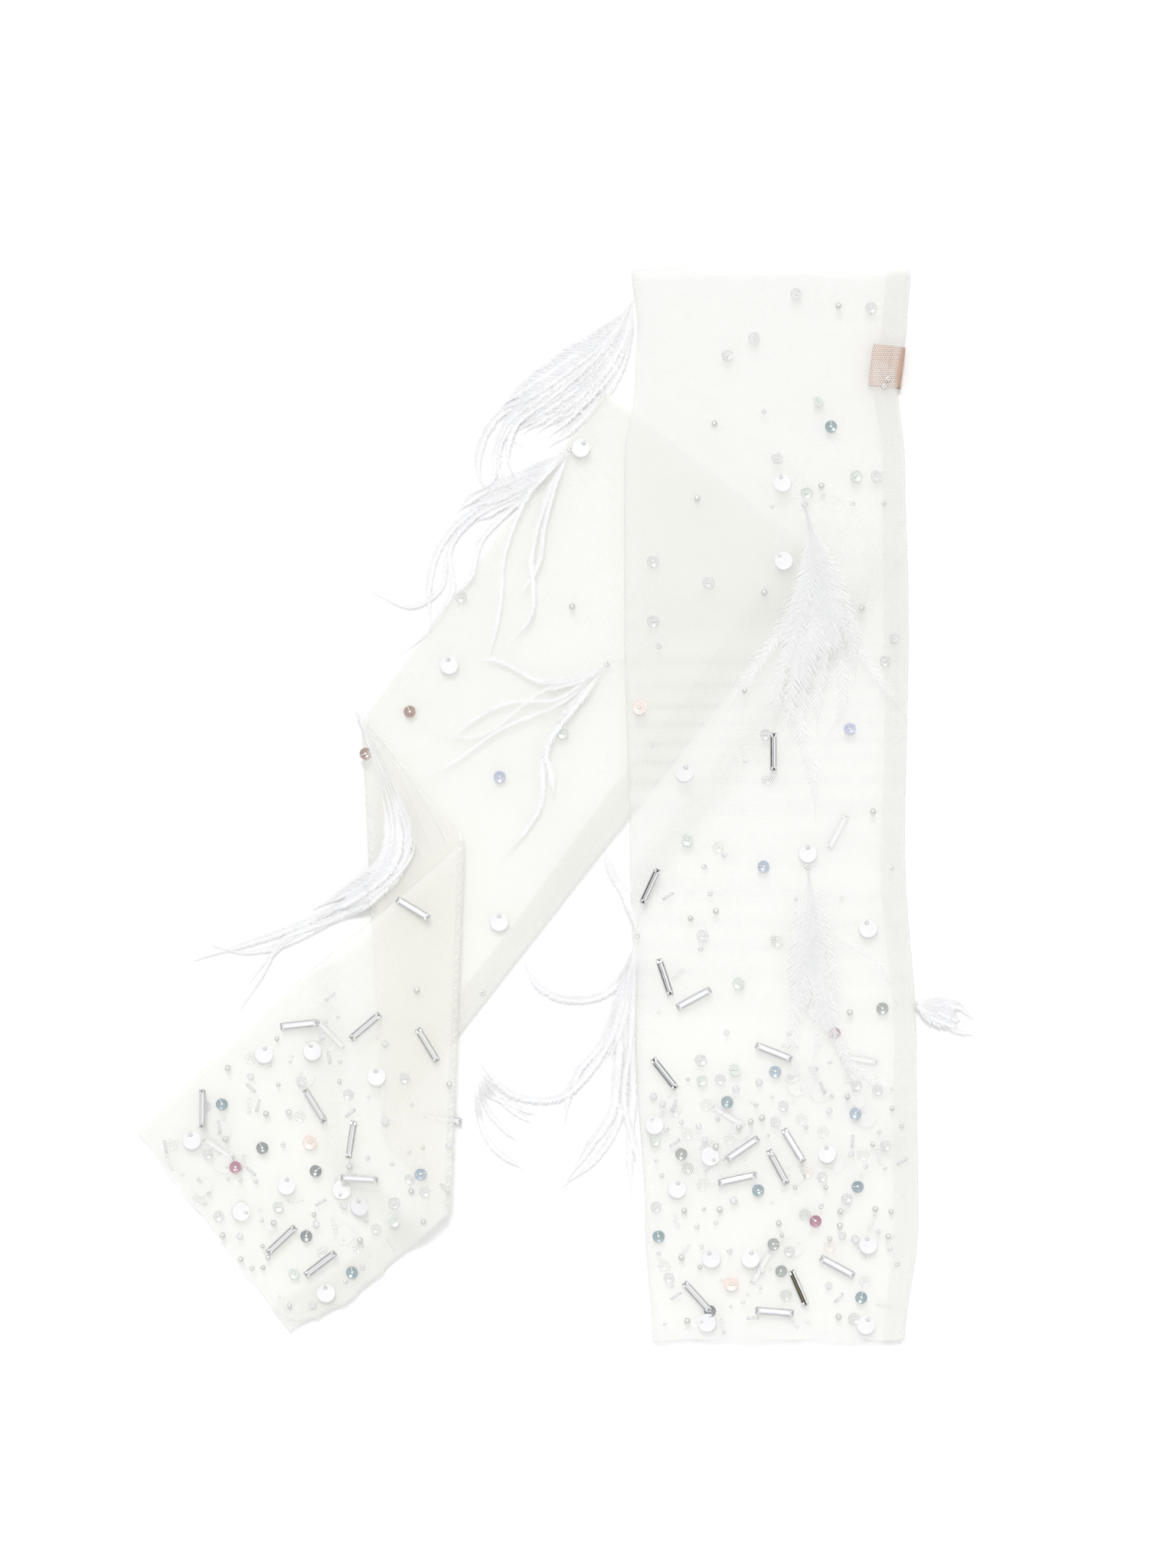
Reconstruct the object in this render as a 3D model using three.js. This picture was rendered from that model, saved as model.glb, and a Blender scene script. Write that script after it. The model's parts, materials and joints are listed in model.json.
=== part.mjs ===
// A pair of long sheer tulle sleeves, laid flat: the right one straight, over the left one,
// which lies aslant with a Z-shaped pleat at the elbow. Each sleeve is a tube of tulle closed
// by one side seam and sewn with feather tufts, paillettes and baguette stones.
import * as THREE from 'three';

// Tulle tubes, in millimetres
const wall = 0.8;
const drapeGap = 0.6;
const edgeRound = 4;
const clearance = 0.3;
const acrossPitch = 20;

const rightLength = 560;
const rightWidth = 146;
const rightLoft = 7.6;
const rowPitch = 20;

const leftShoulderWidth = 147;
const leftWristWidth = 134;
const leftLoft = 7;
const foldLoft = 4.2;
const foldGap = 0.6;
const leftLength = 535;
const firstFold = 298;
const firstSlant = 83;
const secondFold = 366;
const secondSlant = 69;
const hemSlant = 6;
const leftHeading = -127.3;
const underlap = 46;
const leftDrop = 108;
const foldSteps = 4;

// How the upper tube comes down beside what it lies over
const apronClear = 14;
const apronFall = 22;

// Side seams, inside each tube along its right edge
const seamWidth = 5;
const seamThickness = 0.4;
const seamInset = 2.2;

// Folded ribbon label in the right sleeve's side seam
const labelWidth = 15;
const labelHeight = 20;
const labelRibbon = 0.25;
const labelDown = 49;
const labelSetback = 3;

// Sewn-on pieces
const stoneLength = 20;
const stoneWidth = 4;
const stoneHeight = 2.4;
const stoneBevel = 0.7;
const discDiameter = 10;
const discThickness = 0.5;
const discHole = 1.4;
const discHoleInset = 1.6;
const discFacets = 5;
const tuftHeight = 2.6;
const tuftRootWidth = 4;
const tuftSections = 8;
const tuftSides = 6;

// Sideways drift of the right sleeve's two edges, as [share of its length, left, right]
const rightDrift = [
  [0, 1, 1], [0.05, 4, -1], [0.1, 3, -6], [0.18, -3, -2], [0.32, -3, 0],
  [0.54, 0, -2], [0.72, 3, 4], [0.89, 8, 5], [1, 12, -2],
];

// Baguette stones and paillettes, as [share of the length, share of the width, turn]
const rightStones = [
  [0.45, 0.52, 90], [0.575, 0.07, 65], [0.66, 0.11, 108], [0.68, 0.21, 28], [0.75, 0.1, -52],
  [0.73, 0.49, -22], [0.82, 0.365, 34], [0.848, 0.34, 12], [0.837, 0.49, -62], [0.817, 0.55, -59],
  [0.93, 0.71, -29], [0.95, 0.57, -67], [0.972, 0.48, -5], [0.958, 0.18, -48],
];
const rightDiscs = [
  [0.2, 0.56, 10], [0.47, 0.2, -15], [0.545, 0.645, 0], [0.615, 0.85, 12], [0.858, 0.12, -8],
  [0.825, 0.67, 5], [0.923, 0.24, 20], [0.923, 0.385, -12], [0.91, 0.82, 8], [0.985, 0.84, -20],
];
const leftStones = [
  [0.62, 0.33, -31], [0.855, 0.08, 6], [0.795, 0.26, 40], [0.65, 0.62, -59], [0.95, 0.06, 90],
  [0.86, 0.35, -58], [0.83, 0.54, 81], [0.83, 0.67, -3], [0.945, 0.64, 43], [0.915, 0.81, 37],
];
const leftDiscs = [
  [0.08, 0.05, -30], [0.385, 0.14, 10], [0.395, 0.86, 0], [0.85, 0.19, 15], [0.89, 0.07, -10],
  [0.79, 0.43, 5], [0.97, 0.12, 12], [0.915, 0.5, -5], [0.84, 0.75, 0], [0.925, 0.91, 8],
];

// Feather tufts: the root as shares of the sleeve, then the lie of the tuft from its root
const tufts = [
  { sleeve: 'right', down: 0.03, across: 0.02, width: 15,
    lie: [[0, 0], [-25, -28], [-56, -51], [-79, -74], [-83, -92]] },
  { sleeve: 'left', down: 0.08, across: 0.03, width: 11,
    lie: [[-9, -6], [-30, -21], [-64, -44], [-75, -71], [-77, -94]] },
  { sleeve: 'left', down: 0.2, across: 0.6, width: 8,
    lie: [[0, 0], [-16, -5], [-32, -4], [-48, -1], [-60, 2]] },
  { sleeve: 'left', down: 0.54, across: 0.01, width: 11,
    lie: [[0, 0], [16, -29], [20, -65], [2, -92], [-28, -111], [-58, -122]] },
  { sleeve: 'right', down: 0.22, across: 0.63, width: 24,
    lie: [[0, 0], [4, -30], [3, -70], [1, -110]] },
  { sleeve: 'right', down: 0.562, across: 0.645, width: 15,
    lie: [[0, 0], [2, -20], [0, -64], [15, -100]] },
  { sleeve: 'right', down: 0.62, across: 0.02, width: 13,
    lie: [[0, 0], [-10, -33], [-17, -70], [-34, -94]] },
  { sleeve: 'right', down: 0.69, across: 0.97, width: 9,
    lie: [[0, 0], [16, -4], [31, -11]] },
];
const foldTuft = { down: 0.64, width: 7, lie: [[0, 0], [12, -13], [26, -27]] };

const up = new THREE.Vector3(0, 0, 1);
const degree = Math.PI / 180;

const tulleMaterial = new THREE.MeshStandardMaterial({
  color: 0xf1f1ec, roughness: 0.9, metalness: 0, transparent: true, opacity: 0.5,
});
const seamMaterial = new THREE.MeshStandardMaterial({ color: 0xe6e6e0, roughness: 0.9 });
const labelMaterial = new THREE.MeshStandardMaterial({ color: 0xe8c8b6, roughness: 0.7 });
const stoneMaterial = new THREE.MeshStandardMaterial({ color: 0xd8dde0, roughness: 0.1, metalness: 0.2 });
const discMaterial = new THREE.MeshStandardMaterial({ color: 0xf6f6f4, roughness: 0.25 });
const featherMaterial = new THREE.MeshStandardMaterial({ color: 0xe8e9ec, roughness: 0.85 });

const layout = new THREE.Group();

function addPiece(name, geometry, material) {
  const mesh = new THREE.Mesh(geometry, material);
  mesh.name = name;
  layout.add(mesh);
  return mesh;
}

function signedVolume(points, faces) {
  let sum = 0;
  const cross = new THREE.Vector3();
  for (let i = 0; i < faces.length; i += 3) {
    const [a, b, c] = [points[faces[i]], points[faces[i + 1]], points[faces[i + 2]]];
    sum += a.dot(cross.crossVectors(b, c));
  }
  return sum;
}

// A closed skin through equal loops of points; a ring joins its last loop to its first
function skin(loops, ring) {
  const around = loops[0].length;
  const faces = [];
  const spans = ring ? loops.length : loops.length - 1;
  for (let i = 0; i < spans; i += 1) {
    const next = (i + 1) % loops.length;
    // A ring comes back on its inside, where the same diagonal runs the other way
    const inside = ring && i >= loops.length / 2;
    for (let k = 0; k < around; k += 1) {
      const side = (k + 1) % around;
      const [a, b] = [i * around + k, i * around + side];
      const [c, d] = [next * around + side, next * around + k];
      if (inside) faces.push(a, b, d, b, c, d);
      else faces.push(a, b, c, a, c, d);
    }
  }
  if (!ring) {
    const last = (loops.length - 1) * around;
    for (let k = 1; k < around - 1; k += 1) {
      faces.push(0, k + 1, k, last, last + k, last + k + 1);
    }
  }
  const points = loops.flat();
  if (signedVolume(points, faces) < 0) faces.reverse();
  const geometry = new THREE.BufferGeometry().setFromPoints(points);
  geometry.setIndex(faces);
  geometry.computeVertexNormals();
  return geometry;
}

// One loop round a row of tube: the front face, the right edge, the back face, the left edge
function tubeLoop(row, inset, acrossSteps) {
  const width = row.left.distanceTo(row.right);
  const tip = inset * 1.5;
  const half = row.loft / 2 - inset;
  const shares = [];
  for (let i = 0; i <= acrossSteps; i += 1) {
    shares.push((edgeRound + ((width - 2 * edgeRound) * i) / acrossSteps) / width);
  }
  const place = (share, offset) => {
    const point = row.left.clone().lerp(row.right, share);
    if (row.drape) point.z += row.drape(point.x, point.y);
    return point.addScaledVector(row.front, offset);
  };
  const frontFace = shares.map((share) => place(share, half));
  const backFace = shares.map((share) => place(share, -half)).reverse();
  return [place(tip / width, 0), ...frontFace, place(1 - tip / width, 0), ...backFace];
}

function tubeGeometry(rows) {
  const acrossSteps = Math.round(rows[0].left.distanceTo(rows[0].right) / acrossPitch);
  const outside = rows.map((row) => tubeLoop(row, 0, acrossSteps));
  const inside = rows.map((row) => tubeLoop(row, wall, acrossSteps)).reverse();
  return skin([...outside, ...inside], true);
}

// The seam allowance: a flat strip inside the tube, just in from the right edge
function seamGeometry(rows) {
  const ends = rows.length - 1;
  const loops = rows.map((row, i) => {
    const width = row.left.distanceTo(row.right);
    const corners = [[seamInset, 1], [seamInset + seamWidth, 1],
      [seamInset + seamWidth, -1], [seamInset, -1]];
    const inward = new THREE.Vector3();
    if (i === 0) inward.subVectors(rows[1].right, row.right).setLength(clearance);
    if (i === ends) inward.subVectors(rows[ends - 1].right, row.right).setLength(clearance);
    return corners.map(([inset, side]) => {
      const point = row.left.clone().lerp(row.right, 1 - inset / width);
      if (row.drape) point.z += row.drape(point.x, point.y);
      return point.addScaledVector(row.front, (side * seamThickness) / 2).add(inward);
    });
  });
  return skin(loops, false);
}

function smooth(low, high, value) {
  return THREE.MathUtils.smoothstep(value, low, high);
}

// Distance in plan from a point to a convex outline, 0 inside it
function distanceToOutline(x, y, outline) {
  let best = Infinity;
  let turns = 0;
  outline.forEach((a, i) => {
    const b = outline[(i + 1) % outline.length];
    const edge = b.clone().sub(a);
    const to = new THREE.Vector2(x, y).sub(a);
    const share = THREE.MathUtils.clamp(to.dot(edge) / edge.lengthSq(), 0, 1);
    best = Math.min(best, to.distanceTo(edge.clone().multiplyScalar(share)));
    turns += Math.sign(edge.cross(to));
  });
  return Math.abs(turns) === outline.length ? 0 : best;
}

function apron(outline, lift) {
  return (x, y) => {
    const away = distanceToOutline(x, y, outline);
    return lift * (1 - smooth(apronClear, apronClear + apronFall, away));
  };
}

// The left sleeve's flat panel is laid at its heading, then mirrored over each fold in turn
const shoulderCentre = new THREE.Vector2(underlap - rightWidth / 2, -leftDrop);
const along = new THREE.Vector2(Math.cos(leftHeading * degree), Math.sin(leftHeading * degree));
const toLeft = new THREE.Vector2(along.y, -along.x);

function panelWidth(distance) {
  return THREE.MathUtils.lerp(leftShoulderWidth, leftWristWidth, distance / leftLength);
}

function panelPoint(distance, side) {
  const half = (side * panelWidth(distance)) / 2;
  return shoulderCentre.clone().addScaledVector(along, distance).addScaledVector(toLeft, half);
}

function mirror(point, line) {
  const direction = line[1].clone().sub(line[0]).normalize();
  const to = point.clone().sub(line[0]);
  const foot = line[0].clone().addScaledVector(direction, to.dot(direction));
  return foot.multiplyScalar(2).sub(point);
}

const firstLine = [panelPoint(firstFold - firstSlant, 1), panelPoint(firstFold + firstSlant, -1)];
const onPleat = (point) => mirror(point, firstLine);
const secondLine = [
  onPleat(panelPoint(secondFold - secondSlant, 1)),
  onPleat(panelPoint(secondFold + secondSlant, -1)),
];
const onForearm = (point) => mirror(onPleat(point), secondLine);
const upperOutline = [panelPoint(0, 1), panelPoint(0, -1), firstLine[1], firstLine[0]];
const pleatOutline = [firstLine[0], firstLine[1], secondLine[1], secondLine[0]];

// Fold radius at mid-thickness, and how far the straight rows stop short of the fold's edge
const foldRadius = (foldLoft + foldGap) / 2;
const foldReach = foldRadius + foldLoft / 2;
const layerStep = foldLoft + foldGap;

function stopShort(line, slantStart) {
  const direction = line[1].clone().sub(line[0]).normalize();
  return foldReach / Math.abs(direction.cross(slantStart));
}

const firstShort = stopShort(firstLine, along);
const secondShort = stopShort(secondLine, onPleat(along).sub(onPleat(new THREE.Vector2())));

function at(point, height) {
  return new THREE.Vector3(point.x, point.y, height);
}

function foldRows(before, after, line, body, axisHeight, frontSide) {
  const direction = line[1].clone().sub(line[0]).normalize();
  const outward = new THREE.Vector3(direction.y, -direction.x, 0);
  if (outward.dot(at(line[0].clone().sub(body), 0)) < 0) outward.negate();
  const rows = [];
  for (let i = 1; i < foldSteps; i += 1) {
    const turn = (Math.PI * i) / foldSteps;
    const radial = outward.clone().multiplyScalar(Math.sin(turn)).addScaledVector(up, -Math.cos(turn));
    const bend = (a, b) => at(a, axisHeight).lerp(at(b, axisHeight), i / foldSteps)
      .addScaledVector(radial, foldRadius);
    rows.push({
      left: bend(before[0], after[0]), right: bend(before[1], after[1]),
      front: radial.clone().multiplyScalar(frontSide), loft: foldLoft, station: null,
    });
  }
  return rows;
}

// Straight rows from one ruling of the panel to another; a ruling is [left, right] distances
function panelRows(from, to, steps, placing) {
  const rows = [];
  for (let i = 0; i <= steps; i += 1) {
    const share = i / steps;
    const left = THREE.MathUtils.lerp(from[0], to[0], share);
    const right = THREE.MathUtils.lerp(from[1], to[1], share);
    const loft = placing.loft(share);
    const height = placing.base + loft / 2;
    rows.push({
      left: at(placing.lay(panelPoint(left, 1)), height),
      right: at(placing.lay(panelPoint(right, -1)), height),
      front: up.clone().multiplyScalar(placing.front), loft, drape: placing.drape,
      station: (left + right) / 2,
    });
  }
  return rows;
}

function leftRows() {
  const first = [firstFold - firstSlant, firstFold + firstSlant];
  const second = [secondFold - secondSlant, secondFold + secondSlant];
  const shift = (ruling, by) => ruling.map((distance) => distance + by);
  const stack = 2 * layerStep;
  const stretches = [
    { from: [0, 0], to: shift(first, -firstShort), steps: 14, lay: (point) => point, base: 0,
      front: 1, loft: (share) => THREE.MathUtils.lerp(leftLoft, foldLoft, smooth(0.35, 0.68, share)) },
    { from: shift(first, firstShort), to: shift(second, -secondShort), steps: 3, lay: onPleat,
      base: layerStep, front: -1, loft: () => foldLoft },
    { from: shift(second, secondShort), to: [leftLength - hemSlant, leftLength + hemSlant],
      steps: 10, lay: onForearm, base: 0, front: 1, drape: apron(pleatOutline, stack),
      loft: (share) => THREE.MathUtils.lerp(foldLoft, leftLoft, smooth(0.1, 0.6, share)) },
  ];
  const runs = stretches.map((stretch) => panelRows(stretch.from, stretch.to, stretch.steps, stretch));
  const ends = (row) => [new THREE.Vector2(row.left.x, row.left.y), new THREE.Vector2(row.right.x, row.right.y)];
  const [upper, pleat, forearm] = runs;
  const firstAxis = foldLoft / 2 + foldRadius;
  const bendOne = foldRows(ends(upper.at(-1)), ends(pleat[0]), firstLine, shoulderCentre, firstAxis, -1);
  const bendTwo = foldRows(ends(pleat.at(-1)), ends(forearm[0]), secondLine, firstLine[0],
    firstAxis + layerStep, 1);
  return [...upper, ...bendOne, ...pleat, ...bendTwo, ...forearm];
}

function driftAt(share, column) {
  const last = rightDrift.length - 1;
  const i = Math.min(rightDrift.findIndex((stop) => stop[0] >= share) || 1, last);
  const [a, b] = [rightDrift[i - 1], rightDrift[i]];
  return THREE.MathUtils.lerp(a[column], b[column], smooth(a[0], b[0], share));
}

function rightRow(share) {
  const y = -share * rightLength;
  const height = rightLoft / 2;
  return {
    left: new THREE.Vector3(-rightWidth / 2 + driftAt(share, 1), y, height),
    right: new THREE.Vector3(rightWidth / 2 + driftAt(share, 2), y, height),
    front: up.clone(), loft: rightLoft, drape: apron(upperOutline, leftLoft + drapeGap),
    station: -y,
  };
}

function rightRows() {
  const steps = Math.round(rightLength / rowPitch);
  return Array.from({ length: steps + 1 }, (_, i) => rightRow(i / steps));
}

// A place on a sleeve's front, from shares of its length and width
function placeOn(rows, length, down, across) {
  const station = down * length;
  const straight = rows.filter((row) => row.station !== null && row.front.z > 0);
  const next = Math.max(1, straight.findIndex((row) => row.station >= station));
  const [a, b] = [straight[next - 1], straight[next]];
  const share = (station - a.station) / (b.station - a.station);
  const from = a.left.clone().lerp(a.right, across);
  const to = b.left.clone().lerp(b.right, across);
  return from.lerp(to, share);
}

const sleeves = {
  left: { rows: leftRows(), length: leftLength },
  right: { rows: rightRows(), length: rightLength },
};
const laid = [];
const raycaster = new THREE.Raycaster();

function heightAt(x, y) {
  raycaster.set(new THREE.Vector3(x, y, 200), new THREE.Vector3(0, 0, -1));
  const hits = raycaster.intersectObjects(laid, false);
  return hits.length ? hits[0].point.z : 0;
}

function settle(mesh) {
  mesh.updateMatrixWorld(true);
  laid.push(mesh);
}

// Lays a piece on whatever is under its footprint, tilted to the slope there
function layOn(mesh, x, y, turn, halfLength, halfWidth, round = false) {
  const [cos, sin] = [Math.cos(turn * degree), Math.sin(turn * degree)];
  const samples = [];
  for (let i = -1; i <= 1; i += 0.5) {
    for (let j = -1; j <= 1; j += 1) {
      const within = round ? Math.min(1, 1 / Math.hypot(i, j)) : 1;
      const [a, b] = [i * halfLength * within, j * halfWidth * within];
      samples.push({ a, b, z: heightAt(x + cos * a - sin * b, y + sin * a + cos * b) });
    }
  }
  const slope = (key) => samples.reduce((sum, s) => sum + s[key] * s.z, 0)
    / samples.reduce((sum, s) => sum + s[key] * s[key], 0);
  const [rise, bank] = [slope('a'), slope('b')];
  const base = Math.max(...samples.map((s) => s.z - rise * s.a - bank * s.b));
  const long = new THREE.Vector3(cos, sin, rise).normalize();
  const side = new THREE.Vector3(-sin, cos, bank);
  const normal = new THREE.Vector3().crossVectors(long, side).normalize();
  side.crossVectors(normal, long);
  mesh.quaternion.setFromRotationMatrix(new THREE.Matrix4().makeBasis(long, side, normal));
  mesh.position.set(x, y, base + clearance / normal.z);
  settle(mesh);
}

function stoneGeometry() {
  const [x, y] = [stoneLength / 2 - stoneBevel, stoneWidth / 2 - stoneBevel];
  const outline = new THREE.Shape([
    new THREE.Vector2(-x, -y), new THREE.Vector2(x, -y), new THREE.Vector2(x, y), new THREE.Vector2(-x, y),
  ]);
  const geometry = new THREE.ExtrudeGeometry(outline, {
    depth: stoneHeight - 2 * stoneBevel, bevelThickness: stoneBevel, bevelSize: stoneBevel,
    bevelSegments: 1,
  });
  return geometry.translate(0, 0, stoneBevel);
}

function discGeometry() {
  const outline = new THREE.Shape().absarc(0, 0, discDiameter / 2, 0, 2 * Math.PI);
  const holeCentre = discDiameter / 2 - discHoleInset;
  outline.holes.push(new THREE.Path().absarc(0, holeCentre, discHole / 2, 0, 2 * Math.PI, true));
  return new THREE.ExtrudeGeometry(outline, {
    depth: discThickness, bevelEnabled: false, curveSegments: discFacets,
  });
}

function addHinge(mesh, sleeve, place, axis, range) {
  mesh.userData.hinge = { sleeve, place, axis, range };
}

const numbered = (name, i) => `${name}_${String(i + 1).padStart(2, '0')}`;

function addStones(side, places) {
  const sleeve = sleeves[side];
  places.forEach(([down, across, turn], i) => {
    const spot = placeOn(sleeve.rows, sleeve.length, down, across);
    const stone = addPiece(numbered(`${side}_baguette`, i), stoneGeometry(), stoneMaterial);
    layOn(stone, spot.x, spot.y, turn, stoneLength / 2, stoneWidth / 2);
    stone.userData.sleeve = side;
  });
}

// A paillette swings on the thread through its hole, so its hinge is the rim beside the hole
function addDiscs(side, places) {
  const sleeve = sleeves[side];
  places.forEach(([down, across, turn], i) => {
    const spot = placeOn(sleeve.rows, sleeve.length, down, across);
    const disc = addPiece(numbered(`${side}_paillette`, i), discGeometry(), discMaterial);
    layOn(disc, spot.x, spot.y, turn, discDiameter / 2, discDiameter / 2, true);
    const rim = new THREE.Vector3(0, discDiameter / 2, 0).applyMatrix4(disc.matrixWorld);
    const axis = new THREE.Vector3(-1, 0, 0).applyQuaternion(disc.quaternion);
    addHinge(disc, side, rim, axis, [0, 110]);
  });
}

// A tuft: one flattened bundle along its lie, resting on what is below each of its sections
function tuftLoops(root, lie, width, rootHeight) {
  const curve = new THREE.SplineCurve(lie.map(([x, y]) => new THREE.Vector2(root.x + x, root.y + y)));
  const seat = (share, half) => {
    const spot = curve.getPointAt(THREE.MathUtils.clamp(share, 0, 1));
    const tangent = curve.getTangentAt(THREE.MathUtils.clamp(share, 0, 1));
    return Math.max(...[-1, -0.5, 0, 0.5, 1].map((side) => (
      heightAt(spot.x - tangent.y * half * side, spot.y + tangent.x * half * side))));
  };
  const loops = [];
  for (let i = 0; i <= tuftSections; i += 1) {
    const share = i / tuftSections;
    const spot = curve.getPointAt(share);
    const tangent = curve.getTangentAt(share);
    const fullness = Math.sin(Math.PI * (0.12 + 0.76 * share)) ** 0.8;
    const half = THREE.MathUtils.lerp(tuftRootWidth, width, i === 0 ? 0 : fullness) / 2;
    const reach = 1 / tuftSections;
    const under = Math.max(seat(share - reach, half), seat(share, half), seat(share + reach, half));
    const free = (rootHeight ?? 0) * (1 - smooth(0, 0.5, share));
    const height = Math.max(rootHeight === undefined ? under : 0, free) + clearance + tuftHeight / 2;
    const loop = [];
    for (let k = 0; k < tuftSides; k += 1) {
      const turn = (2 * Math.PI * (k + 0.5)) / tuftSides;
      const [out, rise] = [Math.cos(turn) * half, (Math.sin(turn) * tuftHeight) / 2];
      loop.push(new THREE.Vector3(spot.x - tangent.y * out, spot.y + tangent.x * out, height + rise));
    }
    loops.push(loop);
  }
  return loops;
}

function addTuft(name, side, root, shape, rootHeight) {
  const loops = tuftLoops(root, shape.lie, shape.width, rootHeight);
  const tuft = addPiece(name, skin(loops, false), featherMaterial);
  const [start, next] = loops.slice(0, 2).map((loop) => (
    loop.reduce((sum, point) => sum.add(point), new THREE.Vector3()).divideScalar(loop.length)));
  const axis = next.sub(start).setZ(0).normalize().cross(up);
  // It turns on its lower edge where it lies on a sleeve, and on its upper edge beside a fold
  const heights = loops[0].map((point) => point.z);
  start.z = rootHeight === undefined ? Math.min(...heights) : Math.max(...heights);
  addHinge(tuft, side, start, axis, [0, 60]);
}

// The label: a ribbon folded in two, sewn by its ends into the side seam
function addLabel() {
  const edge = [-1, 0, 1].map((end) => rightRow((labelDown + (end * labelHeight) / 2) / rightLength).right);
  const seam = edge[1].setX(Math.min(...edge.map((point) => point.x)));
  const pitch = 2 * labelRibbon + 0.1;
  const profile = new THREE.Shape([
    new THREE.Vector2(0, 0), new THREE.Vector2(labelWidth - labelRibbon, 0),
    new THREE.Vector2(labelWidth, pitch / 2), new THREE.Vector2(labelWidth - labelRibbon, pitch),
    new THREE.Vector2(0, pitch), new THREE.Vector2(0, pitch - labelRibbon),
    new THREE.Vector2(labelWidth - 2 * labelRibbon, pitch - labelRibbon),
    new THREE.Vector2(labelWidth - 2 * labelRibbon, labelRibbon), new THREE.Vector2(0, labelRibbon),
  ]);
  const geometry = new THREE.ExtrudeGeometry(profile, { depth: labelHeight, bevelEnabled: false });
  geometry.rotateX(Math.PI / 2).translate(0, labelHeight / 2, 0).rotateZ(Math.PI);
  const label = addPiece('size_label', geometry, labelMaterial);
  label.position.set(seam.x - seamInset - labelSetback, seam.y, wall + clearance);
  label.updateMatrixWorld(true);
  addHinge(label, 'right', label.position.clone(), new THREE.Vector3(0, 1, 0), [0, 12]);
}

function build() {
  Object.entries(sleeves).forEach(([side, sleeve]) => {
    const tube = addPiece(`${side}_sleeve_tube`, tubeGeometry(sleeve.rows), tulleMaterial);
    const seam = addPiece(`${side}_side_seam`, seamGeometry(sleeve.rows), seamMaterial);
    tube.userData.sleeve = side;
    seam.userData.sleeve = side;
    settle(tube);
  });
  addLabel();
  addStones('left', leftStones);
  addStones('right', rightStones);
  addDiscs('left', leftDiscs);
  addDiscs('right', rightDiscs);
  tufts.forEach((shape, i) => {
    const sleeve = sleeves[shape.sleeve];
    const root = placeOn(sleeve.rows, sleeve.length, shape.down, shape.across);
    addTuft(numbered(`${shape.sleeve}_feather_tuft`, i), shape.sleeve, root, shape);
  });
  // One more tuft is sewn along the second fold's edge and hangs from there to the ground
  const edge = secondLine[0].clone().lerp(secondLine[1], foldTuft.down);
  const foldHeight = foldLoft / 2 + foldRadius + layerStep - tuftHeight / 2 - clearance;
  edge.x += tuftRootWidth / 2;
  addTuft('left_feather_tuft_09', 'left', edge, foldTuft, foldHeight);
}

build();

// The origin is under the middle of the whole layout, on the surface it lies on
const extent = new THREE.Box3().setFromObject(layout);
const middle = extent.getCenter(new THREE.Vector3());
layout.position.set(-middle.x, -middle.y, -extent.min.z);

const group = new THREE.Group();
group.add(layout);

export default group;
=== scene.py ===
import json
import math
import bmesh
import bpy
import numpy as np
from mathutils import Matrix, Vector
from mathutils.bvhtree import BVHTree


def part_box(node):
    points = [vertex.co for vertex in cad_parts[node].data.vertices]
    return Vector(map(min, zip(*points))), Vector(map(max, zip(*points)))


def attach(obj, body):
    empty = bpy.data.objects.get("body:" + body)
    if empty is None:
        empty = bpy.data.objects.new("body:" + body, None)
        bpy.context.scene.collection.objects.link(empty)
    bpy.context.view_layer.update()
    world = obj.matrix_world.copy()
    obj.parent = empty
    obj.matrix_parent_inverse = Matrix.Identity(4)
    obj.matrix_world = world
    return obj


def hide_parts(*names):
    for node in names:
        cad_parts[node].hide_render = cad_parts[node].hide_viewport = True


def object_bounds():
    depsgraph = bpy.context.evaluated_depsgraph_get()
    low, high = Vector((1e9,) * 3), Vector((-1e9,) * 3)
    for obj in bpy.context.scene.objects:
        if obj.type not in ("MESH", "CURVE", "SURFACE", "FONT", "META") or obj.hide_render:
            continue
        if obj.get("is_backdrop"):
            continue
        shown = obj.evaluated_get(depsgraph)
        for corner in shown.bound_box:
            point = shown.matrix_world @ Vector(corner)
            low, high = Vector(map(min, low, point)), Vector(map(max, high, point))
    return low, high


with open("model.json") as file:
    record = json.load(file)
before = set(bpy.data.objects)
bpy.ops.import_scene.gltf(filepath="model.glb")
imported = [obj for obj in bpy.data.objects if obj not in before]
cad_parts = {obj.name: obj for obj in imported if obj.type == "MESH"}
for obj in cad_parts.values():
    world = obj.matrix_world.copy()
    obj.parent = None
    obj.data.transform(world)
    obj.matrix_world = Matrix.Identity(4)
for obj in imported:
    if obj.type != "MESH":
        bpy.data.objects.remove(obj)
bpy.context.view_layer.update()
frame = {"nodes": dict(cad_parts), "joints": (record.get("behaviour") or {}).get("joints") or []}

# ---------------------------------------------------------------- the table and the camera
# The pair lies on a plain white table and is seen from straight above. Places below are in
# millimetres from the middle of the right sleeve's shoulder hem, X to the right, Y up the arm.

edge_to_middle = 0.078
camera_place = (-94.8, -268.8, 2408)
table_reach = 4.0
table_drop = 0.0003

hem_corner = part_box("right_sleeve_tube")[1]
hem_middle = np.array([hem_corner.x - edge_to_middle, hem_corner.y, 0.0])


def in_place(points):
    """Millimetres from the hem's middle, as metres in the frame."""
    return np.asarray(points, float) * 0.001 + hem_middle


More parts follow.
